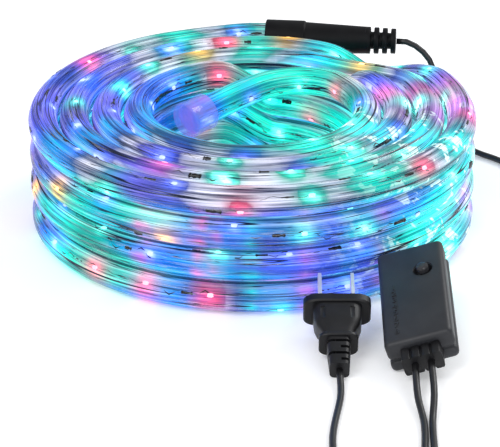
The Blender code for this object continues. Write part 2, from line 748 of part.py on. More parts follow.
def main():
    """Build every piece of the rope light."""
    clear_scene()
    group = new_collection("led_rope_light")
    cutters = new_collection("cutters")
    clear = make_material("clear_rope", (0.45, 0.85, 0.90), 0.12)
    cap = make_material("clear_cap", (0.60, 0.75, 0.95), 0.08)
    black = make_material("black_boot", (0.012, 0.013, 0.016), 0.35)
    lead = make_material("black_lead", (0.010, 0.010, 0.012), 0.40)
    finishes = {
        "case": make_material("charcoal_case", (0.030, 0.032, 0.036), 0.38),
        "back": make_material("charcoal_back", (0.024, 0.026, 0.030), 0.42),
        "button": make_material("black_button", (0.020, 0.020, 0.022), 0.30),
        "gland": make_material("black_gland", (0.014, 0.014, 0.016), 0.40),
        "plug": make_material("black_plug", (0.012, 0.012, 0.014), 0.38),
        "blade": make_material("plated_blade", (0.72, 0.70, 0.66), 0.25, metallic=1.0),
    }
    make_rope_coil(group, cutters, clear)
    make_end_cap(group, cap)
    make_boot(group, black)
    case = make_controller(group, cutters, finishes)
    plug = make_plug(group, cutters, finishes)
    make_leads(group, case, plug, lead)
    make_spare_coil(group, lead)
    for item in group.objects:
        if item.type == "MESH" and not item.name.startswith("plug"):
            smooth(item.data, 40.0)


main()
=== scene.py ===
"""LED rope light: a coil of clear rope light, lit in many colours, with its lead.

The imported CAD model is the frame. The rope is wound here as one real length that runs
from the clear cap in the bore, down and up through four columns of turns, to the boot
at the back right. Its lead, controller and plug lie in front of it.
"""
import sys

import logging
import math
import random
from collections.abc import Callable
from dataclasses import dataclass, field
from enum import Enum

import bpy
import numpy as np
from mathutils import Matrix, Vector

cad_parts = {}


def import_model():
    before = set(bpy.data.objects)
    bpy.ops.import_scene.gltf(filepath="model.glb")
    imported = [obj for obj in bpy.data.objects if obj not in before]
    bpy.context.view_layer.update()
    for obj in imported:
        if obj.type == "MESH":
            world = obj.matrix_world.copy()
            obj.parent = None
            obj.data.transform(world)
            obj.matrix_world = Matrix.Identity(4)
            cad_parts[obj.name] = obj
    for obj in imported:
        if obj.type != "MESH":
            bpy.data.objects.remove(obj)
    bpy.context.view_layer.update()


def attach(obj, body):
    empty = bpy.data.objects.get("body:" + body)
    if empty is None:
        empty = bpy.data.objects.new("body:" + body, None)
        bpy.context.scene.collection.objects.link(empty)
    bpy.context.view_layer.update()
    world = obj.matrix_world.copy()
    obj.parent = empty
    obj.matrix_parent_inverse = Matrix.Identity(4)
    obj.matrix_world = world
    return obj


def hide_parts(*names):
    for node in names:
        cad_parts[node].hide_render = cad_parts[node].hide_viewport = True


LOG = logging.getLogger("rope_light")
Colour = tuple[float, float, float]

# The gap between solids that touch, and how much wider a bore is than what it holds, in metres
CLEARANCE = 0.0003
FIT = 0.0006
# How many steps a smooth curve takes between two of its knots
CURVE_STEPS = 16
# A Mix node's sockets when it mixes colours: its factor, its two colours and its result
MIX_FACTOR, MIX_ONE, MIX_TWO, MIX_RESULT = 0, 6, 7, 2


# Shader maths


class Signal:
    """A socket's output that can be used in sums like a number."""

    def __init__(self, bench: "Bench", socket: bpy.types.NodeSocket) -> None:
        """Keep the socket and the bench that adds its nodes.

        Args:
            bench: The material's node bench.
            socket: The output socket.
        """
        self.bench = bench
        self.socket = socket

    def _math(self, kind: str, *others: "Signal | float") -> "Signal":
        """Add one Math node on this signal."""
        return self.bench.math(kind, self, *others)

    def __add__(self, other: "Signal | float") -> "Signal":
        """Sum."""
        return self._math("ADD", other)

    __radd__ = __add__

    def __sub__(self, other: "Signal | float") -> "Signal":
        """Difference."""
        return self._math("SUBTRACT", other)

    def __rsub__(self, other: float) -> "Signal":
        """Difference from a number."""
        return self.bench.math("SUBTRACT", other, self)

    def __mul__(self, other: "Signal | float") -> "Signal":
        """Product."""
        return self._math("MULTIPLY", other)

    __rmul__ = __mul__

    def __abs__(self) -> "Signal":
        """Size without sign."""
        return self._math("ABSOLUTE")


class Bench:
    """One material's nodes, added by kind and linked by value."""

    def __init__(self, name: str) -> None:
        """Start a material with its Principled shader.

        Args:
            name: The material's name.
        """
        self.material = bpy.data.materials.new(name)
        self.material.use_nodes = True
        self.tree = self.material.node_tree
        self.shader = self.tree.nodes["Principled BSDF"]

    def node(self, kind: str, settings: dict | None = None, **values: object) -> bpy.types.Node:
        """Add a node of any kind.

        Args:
            kind: The node's type name.
            settings: Its own settings, set first.
            **values: Socket values or signals, by name with _ for a space.

        Returns:
            The new node.
        """
        made = self.tree.nodes.new(kind)
        for key, value in (settings or {}).items():
            setattr(made, key, value)
        for key, value in values.items():
            self.feed(made.inputs[key.replace("_", " ")], value)
        return made

    def feed(self, socket: bpy.types.NodeSocket, value: object) -> None:
        """Set or link one input socket."""
        if isinstance(value, Signal):
            self.tree.links.new(value.socket, socket)
        elif isinstance(value, tuple) and len(value) == 3 and socket.type == "RGBA":
            socket.default_value = (*value, 1.0)
        else:
            socket.default_value = value

    def out(self, made: bpy.types.Node, name: str | int = 0) -> Signal:
        """One of a node's outputs as a signal."""
        return Signal(self, made.outputs[name])

    def math(self, kind: str, *terms: "Signal | float", clamp: bool = False) -> Signal:
        """Add a Math node.

        Args:
            kind: The operation.
            *terms: Up to three values or signals.
            clamp: Whether the result is kept from 0 to 1.

        Returns:
            The result.
        """
        made = self.node("ShaderNodeMath", {"operation": kind, "use_clamp": clamp})
        for socket, term in zip(made.inputs, terms):
            self.feed(socket, term)
        return self.out(made)

    def attribute(self, name: str, part: str = "Fac") -> Signal:
        """A mesh attribute of the piece."""
        made = self.node("ShaderNodeAttribute", {"attribute_type": "GEOMETRY", "attribute_name": name})
        return self.out(made, part)

    def place(self) -> Signal:
        """The point on the piece, in metres."""
        return self.out(self.node("ShaderNodeTexCoord"), "Object")

    def noise(self, vector: Signal, scale: float, detail: float = 2.0, rough: float = 0.5) -> Signal:
        """Fine random variation from 0 to 1."""
        made = self.node("ShaderNodeTexNoise", {"noise_dimensions": "3D"}, Vector=vector, Scale=scale,
                         Detail=detail, Roughness=rough)
        return self.out(made, "Fac")

    def step(self, value: Signal, low: float, high: float) -> Signal:
        """A soft step from 0 at low to 1 at high."""
        made = self.node("ShaderNodeMapRange", {"interpolation_type": "SMOOTHSTEP", "clamp": True})
        self.feed(made.inputs["Value"], value)
        self.feed(made.inputs["From Min"], low)
        self.feed(made.inputs["From Max"], high)
        return self.out(made)

    def line(self, value: Signal, level: float, low: float, high: float) -> Signal:
        """1 where a value is within low of a level, and softly down to 0 where it is high away."""
        return 1.0 - self.step(abs(value - level), low, high)

    def blend(self, kind: str, factor: "Signal | float", one: object, two: object) -> Signal:
        """Mix two colours.

        Args:
            kind: The blend type.
            factor: How much of the second.
            one: The first colour.
            two: The second colour.

        Returns:
            The mixed colour.
        """
        made = self.node("ShaderNodeMix", {"data_type": "RGBA", "blend_type": kind, "clamp_factor": True})
        self.feed(made.inputs[MIX_FACTOR], factor)
        self.feed(made.inputs[MIX_ONE], one)
        self.feed(made.inputs[MIX_TWO], two)
        return self.out(made, MIX_RESULT)

    def bump(self, height: Signal, distance: float, strength: float = 1.0) -> None:
        """Give the surface a relief."""
        made = self.node("ShaderNodeBump", Height=height, Distance=distance, Strength=strength)
        self.set(Normal=self.out(made))

    def set(self, **values: object) -> None:
        """Set or link the Principled shader's own sockets."""
        for key, value in values.items():
            self.feed(self.shader.inputs[key.replace("_", " ")], value)


# Finishes


@dataclass(frozen=True)
class Finish:
    """A material that is made from its own few values."""

    name: str

    def make(self) -> bpy.types.Material:
        """Make the material.

        Returns:
            The material.
        """
        bench = Bench(self.name)
        self.dress(bench)
        return bench.material

    def dress(self, bench: Bench) -> None:
        """Set the shader's sockets; each finish has its own.

        Args:
            bench: The new material's nodes.
        """
        raise NotImplementedError


@dataclass(frozen=True)
class MouldedPlastic(Finish):
    """Dark moulded plastic with a fine grain and faintly rubbed patches."""

    colour: Colour
    rub: Colour
    roughness: float = 0.42
    shine: float = 0.32
    grain: float = 2600.0
    depth: float = 0.00003

    def dress(self, bench: Bench) -> None:
        """Set the shader's sockets."""
        place = bench.place()
        fine = bench.noise(place, self.grain, 2.0)
        cloud = bench.noise(place, 90.0, 3.0)
        dust = bench.step(bench.noise(place, 420.0, 4.0), 0.55, 0.80)
        tone = bench.blend("MIX", bench.step(cloud, 0.35, 0.70) * 0.5 + dust * 0.25, self.colour, self.rub)
        bench.set(Base_Color=tone, Roughness=self.roughness + (cloud - 0.5) * 0.16 + (fine - 0.5) * 0.10,
                  Specular_IOR_Level=self.shine)
        bench.bump(fine, self.depth, 0.6)


@dataclass(frozen=True)
class PlatedMetal(Finish):
    """Bright plated metal with fine lengthwise drawing lines."""

    name: str = "plated_blade"
    colour: Colour = (0.80, 0.79, 0.78)
    worn: Colour = (0.62, 0.58, 0.50)

    def dress(self, bench: Bench) -> None:
        """Set the shader's sockets."""
        drawn = bench.node("ShaderNodeMapping", Vector=bench.place(), Scale=(2600.0, 160.0, 900.0))
        lines = bench.noise(bench.out(drawn), 1.0, 3.0)
        stain = bench.step(bench.noise(bench.place(), 240.0, 3.0), 0.5, 0.75)
        tone = bench.blend("MIX", stain * 0.5, self.colour, self.worn)
        bench.set(Base_Color=tone, Metallic=0.55, Roughness=0.30 + lines * 0.16)
        bench.bump(lines, 0.00002, 0.5)


@dataclass(frozen=True)
class LeadSheath(Finish):
    """The lead's black flexible sheath, with a fine grain and faint scuffs."""

    name: str = "lead_sheath"
    colour: Colour = (0.006, 0.006, 0.007)
    rub: Colour = (0.018, 0.018, 0.020)

    def dress(self, bench: Bench) -> None:
        """Set the shader's sockets."""
        fine = bench.noise(bench.place(), 1800.0, 2.0)
        scuff = bench.step(bench.noise(bench.place(), 160.0, 3.0), 0.5, 0.75)
        bench.set(Base_Color=bench.blend("MIX", scuff * 0.6, self.colour, self.rub),
                  Roughness=0.40 + scuff * 0.15)
        bench.bump(fine, 0.00002, 0.5)


def around_vector(bench: Bench, along: float, turns: float) -> Signal:
    """A lengthwise pattern's coordinates, closed round the rope.

    Args:
        bench: The material's bench.
        along: Pattern units for each metre along the rope.
        turns: The pattern's radius round the rope.

    Returns:
        The coordinates.
    """
    uv = bench.out(bench.node("ShaderNodeUVMap", {"uv_map": "rope"}))
    parts = bench.node("ShaderNodeSeparateXYZ", Vector=uv)
    angle = bench.out(parts, "Y") * math.tau
    return bench.out(bench.node("ShaderNodeCombineXYZ", X=bench.out(parts, "X") * along,
                                Y=bench.math("COSINE", angle) * turns,
                                Z=bench.math("SINE", angle) * turns))


@dataclass(frozen=True)
class RopeBody(Finish):
    """The clear rope as it looks lit from inside: glow, dark lines, painted highlights as white streaks and
    flecks and as pale crease sides, and painted shade in the creases between turns.
    """

    name: str = "rope_body"
    pale: Colour = (0.74, 0.74, 0.83)
    dim: Colour = (0.070, 0.080, 0.15)
    shade: Colour = (0.006, 0.010, 0.030)
    # The colour of the painted highlights: the white streaks and the pale sides toward each crease
    highlight_streak: Colour = (0.82, 0.84, 0.96)
    emission: float = 1.42

    def dress(self, bench: Bench) -> None:
        """Set the shader's sockets."""
        soft = around_vector(bench, 15.0, 1.9)
        thin = around_vector(bench, 9.0, 2.9)
        bold = around_vector(bench, 5.0, 1.7)
        broad = bench.noise(soft, 1.0, 3.0, 0.6)
        fine_one = bench.noise(thin, 1.0, 2.0, 0.5)
        fine_two = bench.noise(thin, 1.6, 2.0, 0.5)
        heavy = bench.noise(bold, 1.0, 1.0, 0.4)
        dark = bench.line(fine_one, 0.47, 0.004, 0.014)
        thick = bench.line(heavy, 0.50, 0.005, 0.014)
        # Painted highlights: thin white streaks along the rope, where the clear plastic would catch the
        # light
        white = bench.line(fine_two, 0.55, 0.003, 0.013)
        hair = bench.line(fine_two, 0.46, 0.002, 0.010)
        lines = bench.math("MAXIMUM", bench.math("MAXIMUM", dark * 0.90, thick), hair * 0.86)
        grain = 1.0 - bench.step(fine_two, 0.38, 0.56)
        band = bench.step(broad, 0.36, 0.58)
        glow = bench.attribute("glow", "Color")
        lit = bench.math("MULTIPLY", bench.attribute("lit"), 3.0, clamp=True)
        # The crease depth drives painted shade in the creases between turns and painted highlights beside
        # them
        crease = bench.attribute("crease")
        # Painted shade: dark in the deepest part of each crease, where two turns touch
        seam = bench.step(crease, 0.93, 1.0)
        # Painted highlight: pale on each turn's side toward a neighbouring turn
        rim = bench.step(crease, 0.05, 0.50)
        # Painted highlight: a pale band part way into each crease, painted into the glow
        edge = bench.step(crease, 0.40, 0.54) * (1.0 - bench.step(crease, 0.66, 0.84))
        clear = bench.blend("MIX", band, self.dim, self.pale)
        base = bench.blend("MIX", lit, clear, bench.blend("MULTIPLY", 1.0, glow, (0.14, 0.14, 0.16)))
        # Painted highlights, fainter where the rope is lit: the white streaks, then the pale crease sides
        veil = 1.0 - lit * 0.70
        base = bench.blend("MIX", white * (0.30 + band * 0.50) * veil, base, self.highlight_streak)
        base = bench.blend("MIX", rim * (0.20 + band * 0.40) * veil, base, self.highlight_streak)
        base = bench.blend("MULTIPLY", grain * 0.62, base, (0.20, 0.24, 0.36))
        # The dark lines, and the painted shade in the creases
        base = bench.blend("MIX", bench.math("MAXIMUM", lines, seam * 0.85), base, self.shade)
        shine = bench.blend("MULTIPLY", 1.0, glow, bench.blend("MIX", band, (0.55, 0.56, 0.66),
                                                              (1.20, 1.20, 1.20)))
        # Painted highlight in the glow: paler where the white streaks and the crease sides are
        highlight_tint = bench.blend("MIX", 0.30, glow, (0.26, 0.32, 0.42))
        shine = bench.blend("MIX", (rim * 0.30 + white * 0.26) * veil, shine, highlight_tint)
        # Painted light: the unlit clear parts glow pale grey, most in the broad pale bands
        shine = bench.blend("ADD", (1.0 - lit) * (0.10 + band * 0.90), shine, (0.24, 0.23, 0.27))
        # Painted light: brighter patches of glow towards the brightest side
        bright_patch = bench.noise(bench.place(), 110.0, 3.0, 0.62)
        bright_patch = bench.step(bright_patch, 0.545, 0.605) * bench.attribute("blaze")
        shine = bench.blend("MIX", bright_patch * 0.90, shine, (0.80, 1.05, 0.95))
        shine = bench.blend("MULTIPLY", grain * 0.60, shine, (0.25, 0.36, 0.60))
        # Painted highlight: the pale band part way into each crease
        shine = bench.blend("MIX", edge * (0.24 + band * 0.46) * veil, shine, (0.50, 0.56, 0.66))
        # The dark lines and the painted crease shade, in the glow too
        shine = bench.blend("MIX", bench.math("MAXIMUM", lines, seam * 0.80), shine, (0.0, 0.0, 0.004))
        bench.set(Base_Color=base, Roughness=0.20 + broad * 0.12, Emission_Color=shine)
        bench.set(Specular_IOR_Level=0.12, Emission_Strength=self.emission, Coat_Weight=0.08,
                  Coat_Roughness=0.05)
        bench.bump(fine_one + fine_two * 0.6 + heavy, 0.0011, 0.7)


@dataclass(frozen=True)
class ClearJacket(Finish):
    """The clear jacket's outer skin: nearly see-through, glossy, with painted pale highlight streaks."""

    name: str = "clear_jacket"
    colour: Colour = (0.80, 0.83, 0.95)
    haze: float = 0.005
    highlight_streak: float = 0.15

    def dress(self, bench: Bench) -> None:
        """Set the shader's sockets."""
        thin = around_vector(bench, 14.0, 2.2)
        lines = bench.noise(thin, 1.3, 2.0, 0.5)
        # Painted highlights: pale, less see-through streaks along the jacket
        highlight_streak = bench.line(lines, 0.5, 0.005, 0.026)
        bench.set(Base_Color=self.colour, Roughness=0.08 + lines * 0.06,
                  Alpha=self.haze + highlight_streak * self.highlight_streak, IOR=1.5)
        bench.bump(lines, 0.0005, 0.5)


@dataclass(frozen=True)
class LampGlow(Finish):
    """The bright bulbs, each in its own colour."""

    name: str = "lamp_glow"
    strength: float = 1.9

    def dress(self, bench: Bench) -> None:
        """Set the shader's sockets."""
        colour = bench.attribute("glow", "Color")
        bench.set(Base_Color=colour, Roughness=0.25, Emission_Color=colour, Emission_Strength=self.strength)


@dataclass(frozen=True)
class CapPlastic(Finish):
    """The clear cap's plastic, tinted by the light in it."""

    name: str = "cap_plastic"
    tint: Colour = (0.20, 0.26, 0.72)
    warm: Colour = (0.42, 0.24, 0.70)
    strength: float = 0.22

    def dress(self, bench: Bench) -> None:
        """Set the shader's sockets."""
        cloud = bench.noise(bench.place(), 110.0, 3.0)
        tone = bench.blend("MIX", bench.step(cloud, 0.4, 0.65), self.tint, self.warm)
        bench.set(Base_Color=tone, Roughness=0.10 + cloud * 0.10, Alpha=0.30 + cloud * 0.22,
                  Emission_Color=tone, Emission_Strength=self.strength)
        bench.bump(bench.noise(bench.place(), 300.0, 2.0), 0.0003, 0.5)


# Shapes


def as_rows(points: list) -> np.ndarray:
    """Points as rows of numbers."""
    return np.array([tuple(p) for p in points])


def runs_along(coords: np.ndarray) -> np.ndarray:
    """How far along a line each of its points lies."""
    return np.concatenate(([0.0], np.cumsum(np.linalg.norm(np.diff(coords, axis=0), axis=1))))


def share(value: float) -> float:
    """A number kept from 0 to 1."""
    return min(1.0, max(0.0, value))


def eased(part: "float | np.ndarray") -> "float | np.ndarray":
    """A share from 0 to 1 that starts and ends softly."""
    return part * part * (3 - 2 * part)


def bell(gap: np.ndarray, width: float) -> np.ndarray:
    """A share that falls from 1 as a gap grows past a width."""
    return np.exp(-(gap / width) ** 2)


def turn_from(angle: np.ndarray, middle: float) -> np.ndarray:
    """The shortest turn from a middle, in degrees, to each angle, in radians."""
    return np.angle(np.exp(1j * (angle - math.radians(middle))))


def smooth_route(points: list, step: float) -> list[Vector]:
    """Even points on one smooth curve through the given points.

    Args:
        points: The points to pass through.
        step: The spacing in metres.

    Returns:
        The points.
    """
    knots = [Vector(p) for p in points]
    chain = [knots[0] * 2 - knots[1]] + knots + [knots[-1] * 2 - knots[-2]]
    dense: list[Vector] = []
    for a, b, c, d in zip(chain, chain[1:], chain[2:], chain[3:]):
        t1 = math.sqrt((b - a).length)
        t2 = t1 + math.sqrt((c - b).length)
        t3 = t2 + math.sqrt((d - c).length)
        for k in range(CURVE_STEPS):
            t = t1 + (t2 - t1) * k / CURVE_STEPS
            p1 = a * ((t1 - t) / t1) + b * (t / t1)
            p2 = b * ((t2 - t) / (t2 - t1)) + c * ((t - t1) / (t2 - t1))
            p3 = c * ((t3 - t) / (t3 - t2)) + d * ((t - t2) / (t3 - t2))
            q1 = p1 * ((t2 - t) / t2) + p2 * (t / t2)
            q2 = p2 * ((t3 - t) / (t3 - t1)) + p3 * ((t - t1) / (t3 - t1))
            dense.append(q1 * ((t2 - t) / (t2 - t1)) + q2 * ((t - t1) / (t2 - t1)))
    dense.append(knots[-1])
    coords = as_rows(dense)
    runs = runs_along(coords)
    wanted = np.linspace(0.0, runs[-1], max(3, int(round(runs[-1] / step))) + 1)
    return [Vector(p) for p in zip(*[np.interp(wanted, runs, coords[:, k]) for k in range(3)])]


def route_length(points: list) -> float:
    """The length of a line through points."""
    return sum((Vector(b) - Vector(a)).length for a, b in zip(points, points[1:]))


def route_frames(points: list[Vector]) -> tuple[np.ndarray, np.ndarray, np.ndarray, np.ndarray]:
    """A steady frame at each point of a route.

    Args:
        points: The route's points.

    Returns:
        The points, their directions, and two sides across each.
    """
    coords = as_rows(points)
    ahead = np.gradient(coords, axis=0)
    ahead /= np.linalg.norm(ahead, axis=1)[:, None]
    sides = np.zeros_like(coords)
    side = np.cross(ahead[0], (0.0, 0.0, 1.0))
    if np.linalg.norm(side) < 0.1:
        side = np.cross(ahead[0], (1.0, 0.0, 0.0))
    for i, direction in enumerate(ahead):
        side = side - direction * side.dot(direction)
        side /= np.linalg.norm(side)
        sides[i] = side
    return coords, ahead, sides, np.cross(ahead, sides)


def bands(first: int, rings: int, sides: int) -> list[tuple]:
    """The faces that join rings of points.

    Args:
        first: The number of the first ring's first point.
        rings: How many rings there are.
        sides: How many points each ring has.

    Returns:
        The faces.
    """
    faces = []
    for low in range(first, first + (rings - 1) * sides, sides):
        for k in range(sides):
            a, b = low + k, low + (k + 1) % sides
            faces.append((a, b, b + sides, a + sides))
    return faces


def closed_bands(first: int, rings: int, sides: int) -> list[tuple]:
    """The faces that join rings of points, with a face on each end.

    Args:
        first: The number of the first ring's first point.
        rings: How many rings there are.
        sides: How many points each ring has.

    Returns:
        The faces, the two ends last.
    """
    last = first + (rings - 1) * sides
    return [*bands(first, rings, sides), tuple(reversed(range(first, first + sides))),
            tuple(range(last, last + sides))]


def tube_mesh(name: str, points: list[Vector], radius: float, sides: int) -> bpy.types.Mesh:
    """A round tube along a route, closed at its ends, with a map of its length.

    Args:
        name: The mesh's name.
        points: The middle line.
        radius: The tube's radius.
        sides: How many sides it has.

    Returns:
        The mesh.
    """
    coords, _, across, up = route_frames(points)
    turns = np.linspace(0.0, math.tau, sides, endpoint=False)
    rings = (coords[:, None, :] + radius * (np.cos(turns)[None, :, None] * across[:, None, :]
                                            + np.sin(turns)[None, :, None] * up[:, None, :]))
    count = len(coords)
    mesh = bpy.data.meshes.new(name)
    mesh.from_pydata([tuple(v) for v in rings.reshape(-1, 3)], [], closed_bands(0, count, sides))
    runs = runs_along(coords)
    layer = mesh.uv_layers.new(name="rope")
    values = np.zeros((len(mesh.loops), 2), dtype=np.float32)
    i0 = np.repeat(np.arange(count - 1), sides)
    j0 = np.tile(np.arange(sides), count - 1)
    along = np.stack([runs[i0], runs[i0], runs[i0 + 1], runs[i0 + 1]], axis=1)
    around = np.stack([j0, j0 + 1, j0 + 1, j0], axis=1) / sides
    walls = along.size
    values[:walls] = np.stack([along, around], axis=-1).reshape(-1, 2)
    values[walls + sides:, 0] = runs[-1]
    layer.data.foreach_set("uv", values.ravel())
    mesh.shade_smooth()
    mesh.validate()
    return mesh


def dress_piece(item: bpy.types.Object, finish: bpy.types.Material, body: str) -> None:
    """Give a piece its material and its body, and log it.

    Args:
        item: The piece.
        finish: Its material.
        body: The body it rides on.
    """
    item.data.materials.clear()
    item.data.materials.append(finish)
    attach(item, body)
    LOG.info("%s: %d faces", item.name, len(item.data.polygons))


def add_piece(name: str, mesh: bpy.types.Mesh, finish: bpy.types.Material, body: str) -> bpy.types.Object:
    """Link a mesh as a piece that rides on a body.

    Args:
        name: The piece's name.
        mesh: Its mesh.
        finish: Its material.
        body: The body it rides on.

    Returns:
        The piece.
    """
    item = bpy.data.objects.new(name, mesh)
    bpy.context.scene.collection.objects.link(item)
    dress_piece(item, finish, body)
    return item


def set_values(mesh: bpy.types.Mesh, name: str, values: np.ndarray) -> None:
    """Keep a number at each point of a mesh, for its material to read."""
    layer = mesh.attributes.new(name, "FLOAT", "POINT")
    layer.data.foreach_set("value", values.astype(np.float32))


def set_colours(mesh: bpy.types.Mesh, colours: np.ndarray) -> None:
    """Keep a glow colour at each point of a mesh."""
    layer = mesh.attributes.new("glow", "FLOAT_COLOR", "POINT")
    full = np.ones((len(mesh.vertices), 4), dtype=np.float32)
    full[:, :3] = colours
    layer.data.foreach_set("color", full.ravel())


class Hue(Enum):
    """The lamp colours."""

    TEAL = (0.00, 0.86, 0.58)
    BLUE = (0.04, 0.12, 1.00)
    RED = (1.00, 0.06, 0.16)
    AMBER = (1.00, 0.44, 0.00)


class Wash(Enum):
    """The colours that the light of many lamps mixes to in the clear jacket."""

    TEAL = (0.005, 0.60, 0.44)
    CYAN = (0.010, 0.62, 0.66)
    AZURE = (0.000, 0.27, 0.60)
    BLUE = (0.000, 0.09, 0.62)
    VIOLET = (0.100, 0.10, 0.60)
    PINK = (0.700, 0.13, 0.38)
    ORCHID = (0.420, 0.20, 0.60)
    CLEAR = (0.030, 0.04, 0.07)


# The mixed light's colour at angles round the coil, in degrees: on its wall, on its lid and in its bore
WALL = ((-176, Wash.VIOLET), (-160, Wash.BLUE), (-148, Wash.TEAL), (-138, Wash.TEAL), (-126, Wash.TEAL),
        (-114, Wash.AZURE), (-106, Wash.BLUE), (-94, Wash.AZURE), (-84, Wash.VIOLET), (-74, Wash.BLUE),
        (-62, Wash.VIOLET), (-52, Wash.AZURE), (-40, Wash.TEAL), (-24, Wash.CYAN), (-9, Wash.ORCHID),
        (6, Wash.TEAL), (32, Wash.VIOLET), (52, Wash.TEAL), (78, Wash.AZURE), (100, Wash.TEAL),
        (124, Wash.BLUE), (146, Wash.TEAL), (164, Wash.AZURE))
LID = ((-176, Wash.VIOLET), (-160, Wash.VIOLET), (-142, Wash.AZURE), (-128, Wash.CLEAR), (-112, Wash.VIOLET),
       (-98, Wash.CLEAR), (-80, Wash.CLEAR), (-64, Wash.CLEAR), (-48, Wash.TEAL), (-32, Wash.CLEAR),
       (-18, Wash.CYAN), (-6, Wash.CLEAR), (6, Wash.ORCHID), (18, Wash.PINK), (30, Wash.VIOLET),
       (42, Wash.CLEAR), (54, Wash.TEAL), (70, Wash.CYAN), (84, Wash.CLEAR), (96, Wash.TEAL),
       (112, Wash.CLEAR), (124, Wash.TEAL), (132, Wash.CLEAR), (144, Wash.CLEAR), (156, Wash.VIOLET),
       (168, Wash.BLUE))
BORE = ((-150, Wash.AZURE), (-110, Wash.TEAL), (-60, Wash.TEAL), (0, Wash.TEAL), (60, Wash.TEAL),
        (110, Wash.TEAL), (150, Wash.BLUE))
# Upright stripes of light on the wall: the angle and half width in degrees, the colour and its share
COLUMNS = ((-118.0, 2.4, Wash.PINK, 0.90), (-103.0, 1.7, Wash.PINK, 0.95), (-99.0, 1.4, Wash.PINK, 0.75),
           (-90.5, 1.8, Wash.CYAN, 0.98), (-77.0, 2.2, Wash.PINK, 0.42), (-66.0, 2.2, Wash.CYAN, 0.45),
           (-57.0, 2.0, Wash.PINK, 0.35), (-168.0, 2.5, Wash.PINK, 0.40), (-31.0, 2.0, Wash.PINK, 0.25),
           (24.0, 2.5, Wash.PINK, 0.35), (88.0, 2.5, Wash.PINK, 0.35), (140.0, 2.5, Wash.PINK, 0.35))
# Where the rope's line climbs or sinks a layer: the first and last degree travelled, and which way
CLIMBS = ((295, 323, -1), (655, 683, -1), (1015, 1043, -1), (1735, 1763, 1), (1781, 1809, 1),
          (2141, 2169, 1), (2861, 2889, -1), (3221, 3249, -1), (3581, 3609, -1), (4309, 4337, 1),
          (4669, 4697, 1), (5029, 5057, 1))
# Where it moves out to the next column: the first and last degree travelled
CROSSINGS = ((1385, 1420), (2513, 2542), (3953, 3984))
# How many degrees before and after its span a climb starts and ends
CLIMB_EASE = 4


@dataclass
class Winding:
    """The rope's own line: from the cap in the bore, through four columns, to the boot."""

    rope_d: float = 0.0130
    turn_pitch: float = 0.01325
    layer_pitch: float = 0.0138
    bore_r: float = 0.0415
    layers: int = 4
    step: float = 0.0031
    boot_start: tuple = (0.00622, 0.08894, 0.0487)
    boot_heading: float = -6.0
    socket: float = 0.0115
    first_angle: float = 43.0
    knot_turn: float = 9.0
    whole_turn: float = 5333.0
    points: list[Vector] = field(default_factory=list)

    @property
    def first_r(self) -> float:
        """The innermost turn's middle radius."""
        return self.bore_r + self.rope_d / 2

    @property
    def top_z(self) -> float:
        """The top layer's middle height."""
        return self.rope_d / 2 + (self.layers - 1) * self.layer_pitch

    @property
    def boot_along(self) -> Vector:
        """The boot's direction, level with the floor."""
        heading = math.radians(self.boot_heading)
        return Vector((math.cos(heading), math.sin(heading), 0.0))

    @property
    def length(self) -> float:
        """The whole line's length."""
        return route_length(self.points)

    def level_and_column(self, turn: float) -> tuple[float, float]:
        """The layer and column at a travelled angle.

        Args:
            turn: Degrees travelled from the first turn's start.

        Returns:
            The layer and the column, as smooth numbers.
        """
        level, column = self.layers - 1.0, 0.0
        for first, last, way in CLIMBS:
            level += way * eased(share((turn - first + CLIMB_EASE) / (last - first + 2 * CLIMB_EASE)))
        for first, last in CROSSINGS:
            column += eased(share((turn - first) / (last - first)))
        return level, column

    def make(self) -> list[Vector]:
        """Work out the whole line.

        Returns:
            Its points.
        """
        r, z = self.first_r, self.top_z
        # The inner tail comes up out of the bore: shares of the first radius, and a depth in 5 mm
        tail = [(-0.55, 0.17, 1.15), (-0.36, 0.36, 0.90), (-0.13, 0.58, 0.65), (0.13, 0.77, 0.40),
                (0.45, 0.82, 0.20)]
        knots = [Vector((a * r, b * r, z - 0.005 * c)) for a, b, c in tail]
        turn = 0.0
        while turn < self.whole_turn:
            level, column = self.level_and_column(turn)
            angle = math.radians(self.first_angle - turn)
            lean = math.radians(turn)
            # Small waves, so that no two turns lie quite alike
            wander = 0.00022 * math.sin(lean * 1.37 + column * 2.0) + 0.00013 * math.sin(lean * 3.3 + 1.0)
            drift = 0.00028 * math.sin(lean * 0.83 + column * 1.7) * math.sin(math.pi * min(1, level / 3))
            radius = r + column * self.turn_pitch + wander
            height = self.rope_d / 2 + level * self.layer_pitch + drift
            knots.append(Vector((radius * math.cos(angle), radius * math.sin(angle), height)))
            turn += self.knot_turn
        start, along = Vector(self.boot_start), self.boot_along
        knots += [start - along * 0.0095 + Vector((0.0, -0.0004, -0.0002)), start,
                  start + along * self.socket]
        self.points = smooth_route(knots, self.step)
        return self.points


